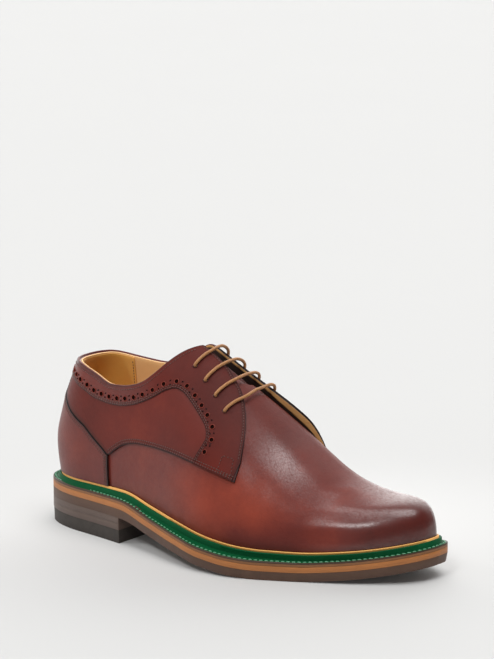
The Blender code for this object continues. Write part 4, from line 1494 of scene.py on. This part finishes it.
studio = {
    "azimuth": 38.3, "elevation": 15.6, "distance": 2060.0, "scale": 1.5146, "anchor": (80.6, -34.0, 0.0),
    "anchorPixel": (114.3, 542.2), "frame": (494, 659), "focalPixels": 3120.0, "sensor": 36.0,
    "floor": 12.0, "floorColour": (0.59, 0.59, 0.585), "floorTone": 0.985, "floorGlow": 0.02,
    "front": 0.08, "back": 2.4, "side": 0.95, "top": 0.34, "tint": (1.0, 0.995, 0.985),
    # where the bright wall behind and the wall on the heel's side lie
    "turn": (-0.47, 0.81, 0.34), "sideTurn": (-1.5, -0.5, 0),
    # how steeply the wall behind, the roof and the low side wall set in, and from where
    "behind": (2.2, 1.0), "above": (3, 2.1), "low": (-6.5, -2.6),
    # name, direction it comes from, strength, spread in degrees
    "panels": [("key", (0.340, -0.070, 0.937), 1.55, 38), ("toeStrip", (0.118, -0.680, 0.724), 0.90, 18),
               ("roofStrip", (-0.133, -0.112, 0.985), 0.40, 24)],
    # name, place, aim, strength in watts, cone in degrees, size
    "spots": [("collarFill", (-0.725, -0.525, 0.945), (-0.085, 0.02, 0.095), 60.0, 8.5, 0.12)],
}


def makeCamera():
    turn, tilt = math.radians(studio["azimuth"]), math.radians(studio["elevation"])
    back = Vector((math.sin(turn) * math.cos(tilt), -math.cos(turn) * math.cos(tilt), math.sin(tilt)))
    right = Vector((math.cos(turn), math.sin(turn), 0))
    anchor = Vector(placed(studio["anchor"]))
    width, height = studio["frame"]
    acrossShift = (width / 2 - studio["anchorPixel"][0]) / studio["scale"] * mm
    upShift = (studio["anchorPixel"][1] - height / 2) / studio["scale"] * mm
    place = anchor + back * studio["distance"] * mm
    aim = anchor + right * acrossShift + back.cross(right) * upShift
    camera = linked("camera", bpy.data.cameras.new("camera"))
    camera.location = place
    camera.rotation_euler = (aim - place).to_track_quat("-Z", "Y").to_euler()
    setUp(camera.data, lens=studio["focalPixels"] * studio["sensor"] / max(width, height),
          sensor_width=studio["sensor"], clip_end=50)
    bpy.context.scene.camera = camera


def makeFloor():
    bm = bmesh.new()
    bmesh.ops.create_grid(bm, x_segments=4, y_segments=4, size=studio["floor"])
    floor = linked("floor", meshFrom(bm, "floor"))
    material, tree, shader = newMaterial("paperFloor", 0.8, 0.0, 0.3, 0.2)
    tone = noiseNode(tree, objectVector(tree), 3, 2)
    near = tuple(studio["floorTone"] * c for c in studio["floorColour"])
    feed(tree, shader["Base Color"], mixColour(tree, tone, near, studio["floorColour"]))
    feed(tree, shader["Emission Color"], (1.0, 1.0, 0.993))
    feed(tree, shader["Emission Strength"], studio["floorGlow"])
    floor.data.materials.append(material)


def makeLights():
    for name, source, strength, spread in studio["panels"]:
        data = setUp(bpy.data.lights.new(name, "SUN"), energy=strength, angle=math.radians(spread))
        linked(name, data).rotation_euler = Vector(source).to_track_quat("Z", "Y").to_euler()
    for name, place, aim, strength, cone, size in studio["spots"]:
        data = setUp(bpy.data.lights.new(name, "SPOT"), energy=strength, spot_size=math.radians(cone),
                     spot_blend=1.0, shadow_soft_size=size)
        light = linked(name, data)
        light.location = place
        light.rotation_euler = (Vector(aim) - Vector(place)).to_track_quat("-Z", "Y").to_euler()


def makeWorld():
    # a white cove behind and above the shoe, and a dark room on the camera's side
    world = bpy.data.worlds.new("studio")
    world.use_nodes = True
    tree = world.node_tree
    look = addNode(tree, "ShaderNodeTexCoord").outputs["Generated"]
    split = addNode(tree, "ShaderNodeSeparateXYZ")
    feed(tree, split.inputs[0], look)
    height = split.outputs["Z"]

    def towards(direction):
        node = addNode(tree, "ShaderNodeVectorMath", operation="DOT_PRODUCT")
        feed(tree, node.inputs[0], look)
        node.inputs[1].default_value = direction
        return node.outputs["Value"]

    def setIn(value, gain, start):
        return mathNode(tree, "SUBTRACT", mathNode(tree, "MULTIPLY", value, gain), start, clamp=True)

    behind = setIn(towards(studio["turn"]), *studio["behind"])
    above, low = setIn(height, *studio["above"]), setIn(height, *studio["low"])
    aside = mathNode(tree, "MULTIPLY", towards(studio["sideTurn"]), 1, clamp=True)
    room = {key: tuple(studio[key] * c for c in studio["tint"]) for key in ("front", "side", "back", "top")}
    colour = mixColour(tree, mathNode(tree, "MULTIPLY", aside, low), room["front"], room["side"])
    colour = mixColour(tree, above, mixColour(tree, behind, colour, room["back"]), room["top"])
    feed(tree, tree.nodes["Background"].inputs["Color"], colour)
    bpy.context.scene.world = world
    bpy.context.scene.view_settings.view_transform = "Standard"


makeCamera()
makeFloor()
makeLights()
makeWorld()
print("studio lit")
